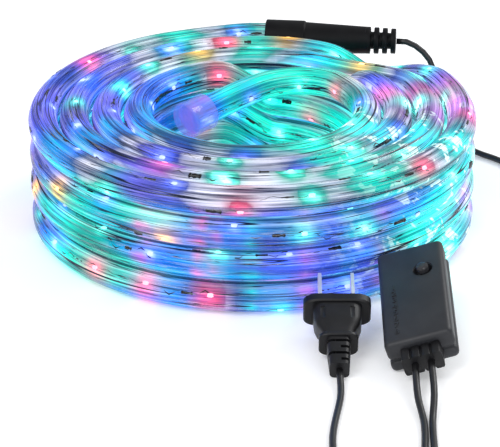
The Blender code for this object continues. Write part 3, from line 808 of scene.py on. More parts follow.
@dataclass
class Lamps:
    """The lamps inside the rope: where they are, their colours and their glow."""

    winding: Winding
    spacing: float = 0.0262
    seed: int = 7
    patch_level: float = 0.42
    patch_width: float = 0.0066
    hot_level: float = 2.6
    hot_width: float = 0.0034
    blaze_level: float = 0.38
    blaze_angle: float = -30.0
    blaze_width: float = 0.44
    places: np.ndarray = field(default_factory=lambda: np.zeros(0))
    colours: np.ndarray = field(default_factory=lambda: np.zeros((0, 3)))
    power: np.ndarray = field(default_factory=lambda: np.zeros(0))
    turn: np.ndarray = field(default_factory=lambda: np.zeros(0))

    def zone(self, point: np.ndarray) -> dict[Hue, float]:
        """How likely each lamp colour is at a place on the coil.

        Args:
            point: A point on the rope's line.

        Returns:
            A weight for each colour.
        """
        angle = math.degrees(math.atan2(point[1], point[0]))
        height = point[2] / self.winding.top_z
        right = max(0.0, math.cos(math.radians(angle + 15.0)))
        left_low = max(0.0, math.cos(math.radians(angle + 150.0))) * (1.2 - height)
        front = max(0.0, math.cos(math.radians(angle + 98.0)))
        left_high = max(0.0, math.cos(math.radians(angle - 165.0))) * height
        return {
            Hue.TEAL: 0.35 + 1.5 * right + 1.4 * left_low,
            Hue.BLUE: 0.25 + 1.5 * front + 0.7 * left_high,
            Hue.RED: 0.30 + 0.25 * front,
            Hue.AMBER: 0.16,
        }

    def make(self) -> None:
        """Place the lamps and choose their colours."""
        rng = random.Random(self.seed)
        coords = as_rows(self.winding.points)
        runs = runs_along(coords)
        places = np.arange(0.006, self.winding.length - 0.014, self.spacing)
        places = places + np.array([rng.uniform(-0.002, 0.002) for _ in places])
        colours, power, turn = [], [], []
        for place in places:
            point = np.array([np.interp(place, runs, coords[:, k]) for k in range(3)])
            weights = self.zone(point)
            hue = rng.choices(list(weights), list(weights.values()))[0]
            colours.append(hue.value)
            side = math.degrees(math.atan2(point[1], point[0]))
            blaze = 1.50 if -54.0 < side < 8.0 and hue is Hue.TEAL else 1.0
            power.append(rng.uniform(0.55, 1.15) * (0.75 if hue is Hue.RED else blaze))
            turn.append(rng.uniform(0.0, math.tau))
        self.places = np.array(places)
        self.colours = np.array(colours)
        self.power = np.array(power)
        self.turn = np.array(turn)

    def ring_of(self, angle: np.ndarray, stops: tuple, width: float) -> np.ndarray:
        """A colour round the coil, blended between stops.

        Args:
            angle: Angles round the coil, in radians.
            stops: The angle in degrees and the colour of each stop.
            width: How far each stop reaches, in degrees.

        Returns:
            The colours.
        """
        total = np.zeros((len(angle), 3))
        weight = np.zeros(len(angle))
        for middle, wash in stops:
            part = bell(turn_from(angle, middle), math.radians(width))
            total += part[:, None] * np.array(wash.value)
            weight += part
        return total / np.maximum(weight, 1e-6)[:, None]

    def ambient(self, coords: np.ndarray) -> np.ndarray:
        """The light that all the turns throw on each point.

        Args:
            coords: Points on the rope.

        Returns:
            Their colours.
        """
        angle = np.arctan2(coords[:, 1], coords[:, 0])
        height = np.clip(coords[:, 2] / self.winding.top_z, 0.0, 1.15)
        reach = np.hypot(coords[:, 0], coords[:, 1])
        # The borders between colours wander a little with height and reach
        sway = (0.10 * np.sin(coords[:, 2] * 260.0 + 1.0) + 0.07 * np.sin(coords[:, 2] * 610.0)
                + 0.05 * np.sin(reach * 410.0))
        wall = self.ring_of(angle + sway, WALL, 9.0)
        lid = self.ring_of(angle + sway * 1.4, LID, 8.0)
        bore = np.clip((self.winding.bore_r + 0.013 - reach) / 0.010, 0.0, 1.0)
        inner = self.ring_of(angle, BORE, 26.0)
        top = eased(np.clip((height - 0.88) / 0.16, 0.0, 1.0))
        glow = wall * (1 - top)[:, None] + lid * top[:, None]
        glow = glow * (1 - bore)[:, None] + 0.92 * inner * bore[:, None]
        for middle, width, wash, level in COLUMNS:
            part = level * bell(turn_from(angle, middle), math.radians(width)) * (1 - top)
            part = part * (0.55 + 0.45 * np.sin(coords[:, 2] * 900.0 + middle)) * (1 - bore)
            glow = glow * (1 - part)[:, None] + np.array(wash.value)[None, :] * part[:, None]
        return glow * (1.0 + self.blaze_level * self.blaze(coords))[:, None]

    def blaze(self, coords: np.ndarray) -> np.ndarray:
        """How near each point is to the brightest side, at the front right.

        Args:
            coords: Points on the rope.

        Returns:
            A share from 0 to 1 for each.
        """
        return bell(turn_from(np.arctan2(coords[:, 1], coords[:, 0]), self.blaze_angle), self.blaze_width)

    def patches(self, runs: np.ndarray) -> np.ndarray:
        """How the mixed light comes and goes along the rope.

        Args:
            runs: How far along the rope each point lies.

        Returns:
            A factor for each point.
        """
        wave = (np.sin(runs * 83.0) * np.sin(runs * 31.0 + 1.3) + 0.6 * np.sin(runs * 151.0 + 0.7)
                * np.sin(runs * 47.0))
        return (1.0 + 0.42 * wave)[:, None]

    def glow_along(self, coords: np.ndarray, runs: np.ndarray, angles: np.ndarray) -> np.ndarray:
        """The glow at each point of the rope's skin.

        Args:
            coords: Points on the skin.
            runs: How far along the rope each lies.
            angles: How far round the rope each lies.

        Returns:
            Their colours.
        """
        glow = self.ambient(coords) * self.patches(runs)
        for place, colour, power, turn in zip(self.places, self.colours, self.power, self.turn):
            near = np.flatnonzero(np.abs(runs - place) < 0.030)
            gap = runs[near] - place
            patch = power * bell(gap, self.patch_width)
            # Each lamp shows on two opposite sides of the rope, with a ragged edge
            lobes = 0.5 + 0.5 * np.cos(2.0 * (angles[near] - turn))
            ragged = 0.72 + 0.28 * np.cos(5.0 * angles[near] + 1700.0 * gap + turn)
            width = self.hot_width * max(1.0, power)
            hot = self.hot_level * power * bell(gap, width) * lobes ** 3 * ragged
            # Red and amber lamps tinge more of the rope round them, and have less white in the middle
            rare = 1.7 if colour[0] > 0.5 else 1.0
            white = 0.015 if rare > 1.0 else 0.06
            tinge = np.clip(patch * self.patch_level * rare * (0.45 + 0.75 * lobes), 0.0, 0.9)[:, None]
            glow[near] = glow[near] * (1.0 - tinge) + colour[None, :] * tinge
            glow[near] += hot[:, None] * (0.012 + 0.60 * colour[None, :]) + white * hot[:, None] ** 3
        return glow


@dataclass
class RopeLight:
    """The rope itself: its lit body, its clear skin, its lamps and its resistors."""

    winding: Winding
    lamps: Lamps
    core_r: float = 0.0061
    skin_sides: int = 16
    core_sides: int = 20

    def lit_tube(self, name: str, radius: float, sides: int) -> bpy.types.Mesh:
        """A tube that carries the glow.

        Args:
            name: The mesh's name.
            radius: Its radius.
            sides: How many sides it has.

        Returns:
            The mesh.
        """
        points = self.winding.points
        mesh = tube_mesh(name, points, radius, sides)
        coords = as_rows(points)
        flat = np.zeros(len(mesh.vertices) * 3, dtype=np.float32)
        mesh.vertices.foreach_get("co", flat)
        skin = flat.reshape(-1, 3)
        angles = np.tile(np.linspace(0.0, math.tau, sides, endpoint=False), len(points))
        glow = self.lamps.glow_along(skin, np.repeat(runs_along(coords), sides), angles)
        set_colours(mesh, glow)
        set_values(mesh, "crease", self.creases(skin, coords, sides))
        set_values(mesh, "blaze", self.lamps.blaze(skin))
        set_values(mesh, "lit", np.clip(glow.max(axis=1), 0.0, 1.0))
        return mesh

    def creases(self, skin: np.ndarray, middle: np.ndarray, sides: int) -> np.ndarray:
        """How deep each point of the skin lies in the crease beside a neighbouring turn.

        Args:
            skin: Points on the rope's skin.
            middle: The rope's middle line.
            sides: How many skin points lie round each middle point.

        Returns:
            A factor from 0 to 1 for each point.
        """
        shape = self.winding
        reach = np.repeat(np.hypot(middle[:, 0], middle[:, 1]), sides)
        height = np.repeat(middle[:, 2], sides)
        out = (np.hypot(skin[:, 0], skin[:, 1]) - reach) / self.core_r
        up = (skin[:, 2] - height) / self.core_r
        column = (reach - shape.first_r) / shape.turn_pitch
        level = (height - shape.rope_d / 2) / shape.layer_pitch
        sides_met = np.stack([np.where(column < 2.5, out, -1.0), np.where(column > 0.5, -out, -1.0),
                              np.where(level < 2.5, up, -1.0), np.where(level > 0.5, -up, -1.0)])
        near = sides_met.max(axis=0)
        near = np.where(reach < shape.first_r - 0.003, -1.0, near)
        return eased(np.clip((near - 0.70) / 0.30, 0.0, 1.0))

    def scattered(self, name: str, make_one: Callable[[int], tuple], lift: float,
                  sides: int) -> bpy.types.Mesh:
        """Copies of a small mesh at each lamp, each bent along the rope's line.

        Args:
            name: The joined mesh's name.
            make_one: Gives the points, faces and colour of one copy, from the lamp's number.
            lift: How far from the rope's middle each copy lies.
            sides: How many copies lie round the rope at each lamp.

        Returns:
            The joined mesh.
        """
        coords, ahead, across, up = route_frames(self.winding.points)
        runs = runs_along(coords)
        verts, faces, colours = [], [], []

        def at(table: np.ndarray, wanted: np.ndarray) -> np.ndarray:
            """A table's rows at the wanted places along the line."""
            return np.stack([np.interp(wanted, runs, table[:, k]) for k in range(3)], axis=1)

        for number, place in enumerate(self.lamps.places):
            for copy in range(sides):
                angle = self.lamps.turn[number] + copy * math.tau / sides
                one, links, tint = make_one(number)
                wanted = place + one[:, 0]
                out = math.cos(angle) * at(across, wanted) + math.sin(angle) * at(up, wanted)
                side = np.cross(out, at(ahead, wanted))
                moved = at(coords, wanted) + out * (lift + one[:, 2:3]) + side * one[:, 1:2]
                faces.extend(tuple(v + len(verts) for v in f) for f in links)
                verts.extend(tuple(v) for v in moved)
                colours.extend([tint] * len(moved))
        mesh = bpy.data.meshes.new(name)
        mesh.from_pydata(verts, [], faces)
        set_colours(mesh, np.array(colours))
        mesh.shade_smooth()
        return mesh

    def make(self, cap: bpy.types.Object) -> None:
        """Make and dress every piece of the rope.

        Args:
            cap: The cap on its inner end; not used.
        """
        core = self.lit_tube("rope_body", self.core_r, self.core_sides)
        body = add_piece("rope_body", core, RopeBody().make(), "light")
        beads = [self.make_lamps(), self.make_resistors()]
        skin = tube_mesh("rope_jacket", self.winding.points, self.winding.rope_d / 2, self.skin_sides)
        piece = add_piece("rope_jacket", skin, ClearJacket().make(), "light")
        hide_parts("rope_coil")
        self.winding.length
        LOG.info("rope: %.2f m", self.winding.length)

    def make_lamps(self) -> bpy.types.Object:
        """The bulbs: a long dome and a few bright chips for each lamp."""
        dome_verts, dome_faces = ball(6, 5)
        rng = random.Random(11)

        def one(number: int) -> tuple:
            """One lamp's dome and chips."""
            tint = tuple(0.22 + 0.80 * c for c in self.lamps.colours[number])
            verts, faces = [], []
            beads = [(0.0, 0.0, 0.0, 0.0021, 0.0014)]
            for _ in range(3):
                beads.append((rng.uniform(-0.0045, 0.0045), rng.uniform(-0.0014, 0.0014),
                              rng.uniform(-0.0002, 0.0001), rng.uniform(0.0005, 0.0011), 0.0006))
            for x, y, z, long, wide in beads:
                faces.extend(tuple(v + len(verts) for v in f) for f in dome_faces)
                verts.extend((x + v[0] * long, y + v[1] * wide, z + v[2] * wide * 0.7) for v in dome_verts)
            return np.array(verts), faces, tint

        mesh = self.scattered("lamp_bulbs", one, 0.0054, 2)
        return add_piece("lamp_bulbs", mesh, LampGlow().make(), "light")

    def make_resistors(self) -> bpy.types.Object:
        """The black resistors and their thin legs, two beside each lamp, on opposite sides."""
        rng = random.Random(5)
        half, leg_step, leg_r = 0.0021, 0.0016, 0.00030

        def one(_: int) -> tuple:
            """One resistor and its legs."""
            verts, faces = [], []
            shift = 0.0100 + rng.uniform(-0.0015, 0.0015)
            sway, phase = rng.uniform(0.0005, 0.0017), rng.uniform(0.0, math.tau)
            swing = [sway * math.sin(k * 1.05 + phase) for k in range(6)]
            stout = rng.choice((0.35, 0.45, 0.8, 1.0, 1.25))
            long = rng.uniform(0.75, 1.5)
            body = [(x * long, radius * stout * rng.uniform(0.72, 1.25)) for x, radius in
                    ((-half, 0.0005), (-0.0018, 0.0009), (-0.0009, 0.0007), (0.0002, 0.0009),
                     (0.0011, 0.0008), (0.0018, 0.0009), (half, 0.0005))]
            leg_one = [(-half - leg_step * k, leg_r) for k in range(5, -1, -1)]
            leg_two = [(half + leg_step * k, leg_r) for k in range(6)]
            for rings, sides in ((body, 6), (leg_one, 4), (leg_two, 4)):
                first = len(verts)
                for x, radius in rings:
                    for k in range(sides):
                        turn = math.tau * k / sides
                        leg = max(0.0, abs(x) - half) / leg_step
                        side = min(1.0, leg * 0.4) * swing[min(5, int(round(leg)))] * (1 if x > 0 else -1)
                        verts.append((x + shift, side + radius * math.cos(turn),
                                      radius * 0.6 * math.sin(turn)))
                faces.extend(closed_bands(first, len(rings), sides))
            return np.array(verts), faces, (0.0, 0.0, 0.0)

        mesh = self.scattered("lamp_resistors", one, 0.0059, 2)
        finish = MouldedPlastic("resistor_black", (0.004, 0.004, 0.005), (0.02, 0.02, 0.022), 0.3).make()
        return add_piece("lamp_resistors", mesh, finish, "light")


def ball(sides: int, rings: int) -> tuple[list, list]:
    """A small unit ball.

    Args:
        sides: Sides round it.
        rings: Rings from end to end.

    Returns:
        Its points and faces.
    """
    verts = [(-1.0, 0.0, 0.0)]
    for i in range(1, rings):
        lift = math.pi * i / rings
        for k in range(sides):
            turn = math.tau * k / sides
            verts.append((-math.cos(lift), math.sin(lift) * math.cos(turn), math.sin(lift) * math.sin(turn)))
    verts.append((1.0, 0.0, 0.0))
    faces = [(0, 1 + (k + 1) % sides, 1 + k) for k in range(sides)]
    faces.extend(bands(1, rings - 1, sides))
    last = len(verts) - 1
    base = 1 + (rings - 2) * sides
    faces.extend((base + k, base + (k + 1) % sides, last) for k in range(sides))
    return verts, faces


# Moulded pieces


def fresh() -> None:
    """Leave nothing selected, so that each tool works on one piece."""
    bpy.ops.object.select_all(action="DESELECT")


def change(item: bpy.types.Object, kind: str, **settings: object) -> None:
    """Add a modifier and apply it.

    Args:
        item: The piece.
        kind: The modifier's type.
        **settings: Its settings.
    """
    fresh()
    item.select_set(True)
    bpy.context.view_layer.objects.active = item
    made = item.modifiers.new(kind.title(), kind)
    for key, value in settings.items():
        setattr(made, key, value)
    bpy.ops.object.modifier_apply(modifier=made.name)


def bevel(item: bpy.types.Object, width: float, angle: float) -> None:
    """Round the edges of a piece that are sharper than an angle in degrees, in two steps."""
    change(item, "BEVEL", width=width, segments=2, limit_method="ANGLE", angle_limit=math.radians(angle))


def block(name: str, size: tuple, middle: tuple, edge: float = 0.0, segments: int = 4) -> bpy.types.Object:
    """A box with rounded edges.

    Args:
        name: The piece's name.
        size: Its width, length and height.
        middle: Its middle.
        edge: The radius of its edges.
        segments: How many steps each edge has.

    Returns:
        The box.
    """
    fresh()
    bpy.ops.mesh.primitive_cube_add(size=1.0, location=middle)
    item = bpy.context.object
    item.name = name
    item.scale = size
    bpy.ops.object.transform_apply(location=True, rotation=True, scale=True)
    if edge > 0.0:
        change(item, "BEVEL", width=edge, segments=segments, limit_method="ANGLE", harden_normals=False)
    return item


def rounds(*steps: tuple[float, float]) -> list[tuple[float, float, float]]:
    """Round sections for a drawn body, from the width and the place of each."""
    return [(wide, wide, at) for wide, at in steps]


def drawn(name: str, sections: list[tuple], corner: float | None = None,
          sides: int = 40) -> bpy.types.Object:
    """A closed body drawn out along Y through sections, round or rounded oblong.

    Args:
        name: The piece's name.
        sections: Width, thickness and place along Y of each section.
        corner: The corners' share of the width, or None for a round body.
        sides: How many sides a round body has.

    Returns:
        The body.
    """
    fresh()
    wide, thick, first = sections[0]
    if corner is None:
        bpy.ops.mesh.primitive_circle_add(vertices=sides, radius=0.5, fill_type="NGON",
                                          rotation=(math.pi / 2, 0.0, 0.0))
    else:
        bpy.ops.mesh.primitive_plane_add(size=1.0, rotation=(math.pi / 2, 0.0, 0.0))
    item = bpy.context.object
    item.name = name
    bpy.ops.object.transform_apply(location=True, rotation=True, scale=True)
    bpy.ops.object.mode_set(mode="EDIT")
    bpy.ops.mesh.select_all(action="SELECT")
    if corner is not None:
        bpy.ops.mesh.bevel(affect="VERTICES", offset=corner, segments=5)
        bpy.ops.mesh.select_all(action="SELECT")
    bpy.ops.transform.resize(value=(wide, 1.0, thick))
    bpy.ops.transform.translate(value=(0.0, first, 0.0))
    for one, two in zip(sections, sections[1:]):
        bpy.ops.mesh.extrude_region_move(TRANSFORM_OT_translate={"value": (0.0, two[2] - one[2], 0.0)})
        bpy.ops.transform.resize(value=(two[0] / one[0], 1.0, two[1] / one[1]))
    bpy.ops.mesh.select_all(action="SELECT")
    bpy.ops.mesh.normals_make_consistent(inside=False)
    bpy.ops.object.mode_set(mode="OBJECT")
    return item


def cut(item: bpy.types.Object, cutters: list[bpy.types.Object], way: str = "DIFFERENCE") -> None:
    """Cut or join a piece with others, which are then removed."""
    for cutter in cutters:
        change(item, "BOOLEAN", object=cutter, operation=way, solver="EXACT")
        bpy.data.objects.remove(cutter, do_unlink=True)


def settle(item: bpy.types.Object, frame: Matrix, finish: bpy.types.Material, body: str,
           replaced: tuple = (), angle: float = 32.0) -> bpy.types.Object:
    """Lay a finished piece in its place, with its own origin left at the world's.

    Args:
        item: The piece, made round its own axes.
        frame: Where it lies.
        finish: Its material.
        body: The body it rides on.
        replaced: The CAD nodes it takes the place of.
        angle: Edges sharper than this stay sharp, in degrees.

    Returns:
        The piece.
    """
    item.data.transform(frame)
    item.data.shade_smooth()
    item.data.set_sharp_from_angle(angle=math.radians(angle))
    dress_piece(item, finish, body)
    if replaced:
        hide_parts(*replaced)
    return item


def frame_along(start: Vector, along: Vector) -> Matrix:
    """A frame at a point with its Y axis along a direction and its Z axis up.

    Args:
        start: The frame's origin.
        along: The direction of its Y axis.

    Returns:
        The frame.
    """
    ahead = along.normalized()
    across = ahead.cross(Vector((0.0, 0.0, 1.0))).normalized()
    up = across.cross(ahead)
    turn = Matrix((across, ahead, up)).transposed().to_4x4()
    return Matrix.Translation(start) @ turn


@dataclass
class Boot:
    """The moulded boot on the rope's outer end."""

    winding: Winding
    wide: float = 0.0156
    tip: float = 0.0112
    length: float = 0.0590
    sleeve: float = 0.0180
    step: float = 0.0012
    ribs: int = 4
    rib_w: float = 0.0022
    groove_w: float = 0.0016
    groove_depth: float = 0.0022

    @property
    def frame(self) -> Matrix:
        """Where it lies."""
        return frame_along(Vector(self.winding.boot_start), self.winding.boot_along)

    def make(self, finish: bpy.types.Material) -> bpy.types.Object:
        """Make the boot.

        Args:
            finish: Its plastic.

        Returns:
            The boot.
        """
        wide, end = self.wide, self.length
        bore = self.winding.rope_d + FIT
        at = end - self.ribs * self.rib_w - (self.ribs - 1) * self.groove_w
        slope = (self.tip - wide + self.step) / (end - self.sleeve)
        steps = [(bore, self.winding.socket), (bore, 0.0), (wide - 0.0008, 0.0), (wide, 0.0005),
                 (wide, self.sleeve - 0.0004), (wide - self.step, self.sleeve)]
        thick = wide - self.step + slope * (at - self.sleeve)
        steps.append((thick, at))
        for rib in range(self.ribs):
            if rib:
                low = thick - 2 * self.groove_depth
                steps += [(low, at), (low, at + self.groove_w)]
                at += self.groove_w
            thick = wide - self.step + slope * (at - self.sleeve)
            steps += [(thick, at), (thick, at + self.rib_w)]
            at += self.rib_w
        item = drawn("boot", rounds(*steps))
        bevel(item, 0.0003, 50.0)
        return settle(item, self.frame, finish, "light", ("connector_boot",))


@dataclass
class Cap:
    """The clear cap on the rope's inner end: a cup with a thick, slightly domed end."""

    tip: tuple = (-0.0264, 0.00816, 0.04215)
    along: tuple = (-0.70161, -0.70573, -0.09842)
    rope_d: float = 0.0130
    wall: float = 0.0011
    length: float = 0.0120
    end: float = 0.0025

    def make(self, finish: bpy.types.Material) -> bpy.types.Object:
        """Make the cap.

        Args:
            finish: Its plastic.

        Returns:
            The cap.
        """
        inner = self.rope_d + FIT
        outer = inner + 2 * self.wall
        depth = self.length - self.end
        waist = outer - 0.0005
        item = drawn("cap", rounds((inner, 0.0), (inner, -depth), (outer, -depth), (outer, -depth + 0.0014),
                                   (waist, -depth + 0.0018), (waist, self.end - 0.0022),
                                   (outer, self.end - 0.0018), (outer, self.end - 0.0005),
                                   (outer - 0.0011, self.end), (outer - 0.0045, self.end - 0.0004)),
                     sides=48)
        along = Vector(self.along)
        frame = frame_along(Vector(self.tip) + along * CLEARANCE, along)
        return settle(item, frame, finish, "light", ("end_cap",))


@dataclass
class Controller:
    """The controller: two case halves, a push button in its well, and a fluted gland."""

    origin: tuple = (0.0655, -0.137798, 0.003162)
    lean: float = 9.0
    roll: float = 18.0
    wide: float = 0.0265
    length: float = 0.0600
    thick: float = 0.0135
    edge: float = 0.0022
    back_t: float = 0.0050
    gap: float = CLEARANCE
    button_from_top: float = 0.0172
    button_from_middle: float = 0.0047
    well_d: float = 0.0078
    well_depth: float = 0.0022
    stroke: float = 0.0010
    button_d: float = 0.0050
    button_h: float = 0.0028
    stem_d: float = 0.0034
    stem_l: float = 0.0022
    gland_w: float = 0.0155
    gland_t: float = 0.0080
    gland_l: float = 0.0070
    flutes: int = 4
    exit_spacing: float = 0.0062
    numbers: int = 8
    number_pitch: float = 0.0040
    number_size: float = 0.0042

    @property
    def frame(self) -> Matrix:
        """Where it lies, leaning on the coil."""
        turn = (Matrix.Rotation(math.radians(self.lean), 4, "X")
                @ Matrix.Rotation(math.radians(-self.roll), 4, "Y"))
        return Matrix.Translation(self.origin) @ turn

    @property
    def button_place(self) -> Vector:
        """The middle of the button's well, on the face."""
        return Vector((self.button_from_middle, self.length - self.button_from_top, self.thick))

    def exit(self, side: float) -> tuple[Vector, Vector]:
        """Where a lead leaves the gland, and its direction.

        Args:
            side: -1 for the left lead, 1 for the right one.

        Returns:
            The point and the direction.
        """
        point = self.frame @ Vector((side * self.exit_spacing / 2, -self.gland_l - self.gap, self.thick / 2))
        out = (self.frame.to_3x3() @ Vector((0.0, -1.0, 0.0))).normalized()
        return point, out

    def make(self, case: bpy.types.Material, dark: bpy.types.Material,
             black: bpy.types.Material) -> list[bpy.types.Object]:
        """Make the controller's pieces.

        Args:
            case: The case's plastic.
            dark: The button's plastic.
            black: The gland's plastic.

        Returns:
            The pieces.
        """
        return [self.make_case(case), self.make_back(case), self.make_button(dark),
                self.make_gland(black), self.make_numbers(case)]

    def make_case(self, finish: bpy.types.Material) -> bpy.types.Object:
        """The front half, with the well for the button and a hole for its stem."""
        low = self.back_t + self.gap
        high = self.thick - low
        item = block("case_front", (self.wide, self.length, high),
                     (0.0, self.length / 2, low + high / 2), self.edge, 5)
        place = self.button_place
        well = drawn("well", rounds((self.well_d, 0.0), (self.well_d, -0.9 * self.well_depth),
                                    (self.well_d - 0.0012, -self.well_depth - self.stroke)))
        rim = drawn("rim", rounds((self.well_d + 0.0014, 0.0010), (self.well_d - 0.0002, -0.0004)))
        hole = drawn("hole", rounds((self.stem_d + FIT, -self.well_depth),
                                    (self.stem_d + FIT, -self.well_depth - self.stem_l - 2 * self.stroke)),
                     sides=24)
        stand = Matrix.Translation(place) @ Matrix.Rotation(math.pi / 2, 4, "X")
        well.data.transform(Matrix.Translation((0.0, 0.0, 0.0005)))
        for cutter in (well, rim, hole):
            cutter.data.transform(stand)
        cut(item, [well, rim, hole])
        return settle(item, self.frame, finish, "light", ("controller_case",))

    def make_back(self, finish: bpy.types.Material) -> bpy.types.Object:
        """The back half, with a lip that is a little smaller, so that the seam shows."""
        item = block("case_back", (self.wide, self.length, self.back_t),
                     (0.0, self.length / 2, self.back_t / 2), self.edge, 5)
        lip = block("lip", (self.wide - 0.0024, self.length - 0.0024, self.gap + 0.0012),
                    (0.0, self.length / 2, self.back_t))
        cut(item, [lip], "UNION")
        return settle(item, self.frame, finish, "light", ("controller_back",))

    def make_button(self, finish: bpy.types.Material) -> bpy.types.Object:
        """The domed button on its stem."""
        foot = -self.well_depth + self.stroke + self.gap
        wide, high = self.button_d, self.button_h
        dome = [(wide * out, foot + high * up) for out, up in
                ((1.0, 0.0), (1.0, 0.55), (0.96, 0.72), (0.84, 0.87), (0.62, 0.95), (0.30, 0.97))]
        item = drawn("button_cap", rounds((self.stem_d, foot - self.stem_l), (self.stem_d, foot), *dome),
                     sides=32)
        item.data.transform(Matrix.Rotation(math.pi / 2, 4, "X"))
        return settle(item, self.frame @ Matrix.Translation(self.button_place), finish, "button",
                      ("mode_button",))

    def make_gland(self, finish: bpy.types.Material) -> bpy.types.Object:
        """The gland: a row of fluted barrels that the two leads come out of."""
        pitch = self.gland_w / self.flutes
        middle = self.thick / 2
        item = block("gland", (self.gland_w - pitch * 0.5, self.gland_l - self.gap, self.gland_t * 0.78),
                     (0.0, -self.gland_l / 2 - self.gap / 2, middle), 0.0006, 2)
        barrels = []
        for k in range(self.flutes):
            x = (k + 0.5) * pitch - self.gland_w / 2
            barrel = drawn("barrel", [(pitch * 0.98, self.gland_t * 0.98, -self.gland_l),
                                      (pitch * 0.98, self.gland_t * 0.98, -self.gap)], 0.22)
            barrel.data.transform(Matrix.Translation((x, 0.0, middle)))
            barrels.append(barrel)
        cut(item, barrels, "UNION")
        bevel(item, 0.0002, 40.0)
        return settle(item, self.frame, finish, "light", ("cable_gland",))

    def make_numbers(self, finish: bpy.types.Material) -> bpy.types.Object:
        """Plain raised numbers down the face, one for each lighting mode."""
        fresh()
        bpy.ops.object.text_add()
        item = bpy.context.object
        words = item.data
        words.body = "\n".join(str(k + 1) for k in range(self.numbers))
        words.size = self.number_size
        words.space_line = self.number_pitch / self.number_size
        words.extrude = 0.00028
        words.resolution_u = 3
        bpy.ops.object.convert(target="MESH")
        item = bpy.context.object
        item.name = "mode_numbers"
        top = self.length - self.button_from_top - self.well_d / 2 - 0.0052
        item.data.transform(Matrix.Translation((-self.wide * 0.32, top, self.thick)))
        return settle(item, self.frame, finish, "light")


@dataclass
class Plug:
    """The plug: a moulded body with a thin flange, a relief with staggered slots, and blades."""

    origin: tuple = (0.0325, -0.142256, 0.003639)
    lean: float = 14.0
    flange: tuple = (0.0260, 0.0140, 0.0045)
    body: tuple = (0.0190, 0.0120, 0.0160)
    neck: tuple = (0.0115, 0.0090)
    collar: tuple = (0.0150, 0.0110, 0.0020)
    relief: tuple = (0.0095, 0.0075, 0.0140)
    slots: int = 4
    slot_w: float = 0.0013
    blade: tuple = (0.0015, 0.0170, 0.00635)
    blade_spacing: float = 0.0127
    blade_root: float = 0.0030
    hole_d: float = 0.0032

    @property
    def frame(self) -> Matrix:
        """Where it lies, with its blades against the coil."""
        return Matrix.Translation(self.origin) @ Matrix.Rotation(math.radians(self.lean), 4, "X")

    @property
    def exit(self) -> tuple[Vector, Vector]:
        """Where the lead leaves the relief, and its direction."""
        return (self.frame @ Vector((0.0, -CLEARANCE, 0.0)),
                (self.frame.to_3x3() @ Vector((0.0, -1.0, 0.0))).normalized())

    @property
    def face(self) -> float:
        """How far the flange's face lies from the relief's end."""
        return self.relief[2] + self.collar[2] + self.body[2] + self.flange[2]

    def make(self, black: bpy.types.Material, metal: bpy.types.Material) -> list[bpy.types.Object]:
        """Make the plug's pieces.

        Args:
            black: The body's plastic.
            metal: The blades' metal.

        Returns:
            The pieces.
        """
        return [self.make_body(black), self.make_blade(-1.0, "left", metal),
                self.make_blade(1.0, "right", metal)]

    def make_body(self, finish: bpy.types.Material) -> bpy.types.Object:
        """The moulded body, from the relief's end to the flange."""
        wide, tip, long = self.relief
        at = long + self.collar[2]
        body_w, body_t, body_h = self.body
        neck_w, neck_t = self.neck
        top = at + body_h
        collar_w, collar_t = self.collar[:2]
        flange_w, flange_t = self.flange[:2]
        sections = [(tip, tip, 0.0), (wide, wide, long), (collar_w * 0.96, collar_t * 0.96, long),
                    (collar_w, collar_t, long + 0.0004), (collar_w, collar_t, at - 0.0004),
                    (collar_w * 0.96, collar_t * 0.96, at), (neck_w, neck_t, at),
                    (neck_w * 1.12, neck_t * 1.05, at + body_h * 0.16),
                    (body_w * 0.86, body_t * 0.88, at + body_h * 0.36),
                    (body_w * 0.95, body_t * 0.96, at + body_h * 0.55), (body_w, body_t, top),
                    (flange_w - 0.0010, flange_t - 0.0010, top), (flange_w, flange_t, top + 0.0006),
                    (flange_w, flange_t, self.face - 0.0008),
                    (flange_w - 0.0016, flange_t - 0.0016, self.face)]
        item = drawn("plug_moulding", sections, 0.24)
        cutters = []
        pitch = long / (self.slots + 0.4)
        for k in range(self.slots):
            y = pitch * (k + 0.7)
            for side in (-1.0, 1.0):
                shift = side * wide * (0.37 if k % 2 else 0.30)
                if (k + (side > 0)) % 2:
                    cutters.append(block("slot", (wide * 0.46, self.slot_w, wide * 1.4), (shift, y, 0.0)))
                else:
                    cutters.append(block("slot", (wide * 0.56, self.slot_w, wide * 0.30),
                                         (shift * 0.4, y, side * wide * 0.46)))
        for side in (-1.0, 1.0):
            size = (self.blade[0] + FIT, self.blade_root + 0.001, self.blade[2] + FIT)
            middle = (side * self.blade_spacing / 2, self.face - self.blade_root / 2 + 0.0005, 0.0)
            cutters.append(block("blade_slot", size, middle))
            cutters.append(block("grip", (body_w * 0.10, body_h * 0.40, body_t * 0.10),
                                 (side * body_w * 0.30, at + body_h * 0.66, body_t * 0.5), 0.0004, 2))
        cut(item, cutters)
        return settle(item, self.frame, finish, "light", ("plug_body",), 28.0)

    def make_blade(self, side: float, label: str, finish: bpy.types.Material) -> bpy.types.Object:
        """A flat blade with a bevelled tip and its hole."""
        thick, long, high = self.blade
        root = self.face - self.blade_root + CLEARANCE
        tip = self.face + long
        item = drawn("blade_" + label, [(thick, high, root), (thick, high, tip - 0.0022),
                                        (thick * 0.9, high * 0.92, tip - 0.0010),
                                        (thick * 0.45, high * 0.60, tip)],
                     0.10)
        hole = drawn("hole", rounds((self.hole_d, -thick), (self.hole_d, thick)), sides=24)
        across = Matrix.Rotation(math.pi / 2, 4, "Z")
        hole.data.transform(Matrix.Translation((0.0, tip - 0.0050, 0.0)) @ across)
        cut(item, [hole])
        frame = self.frame @ Matrix.Translation((side * self.blade_spacing / 2, 0.0, 0.0))
        return settle(item, frame, finish, "light", ("plug_blade_" + label,))


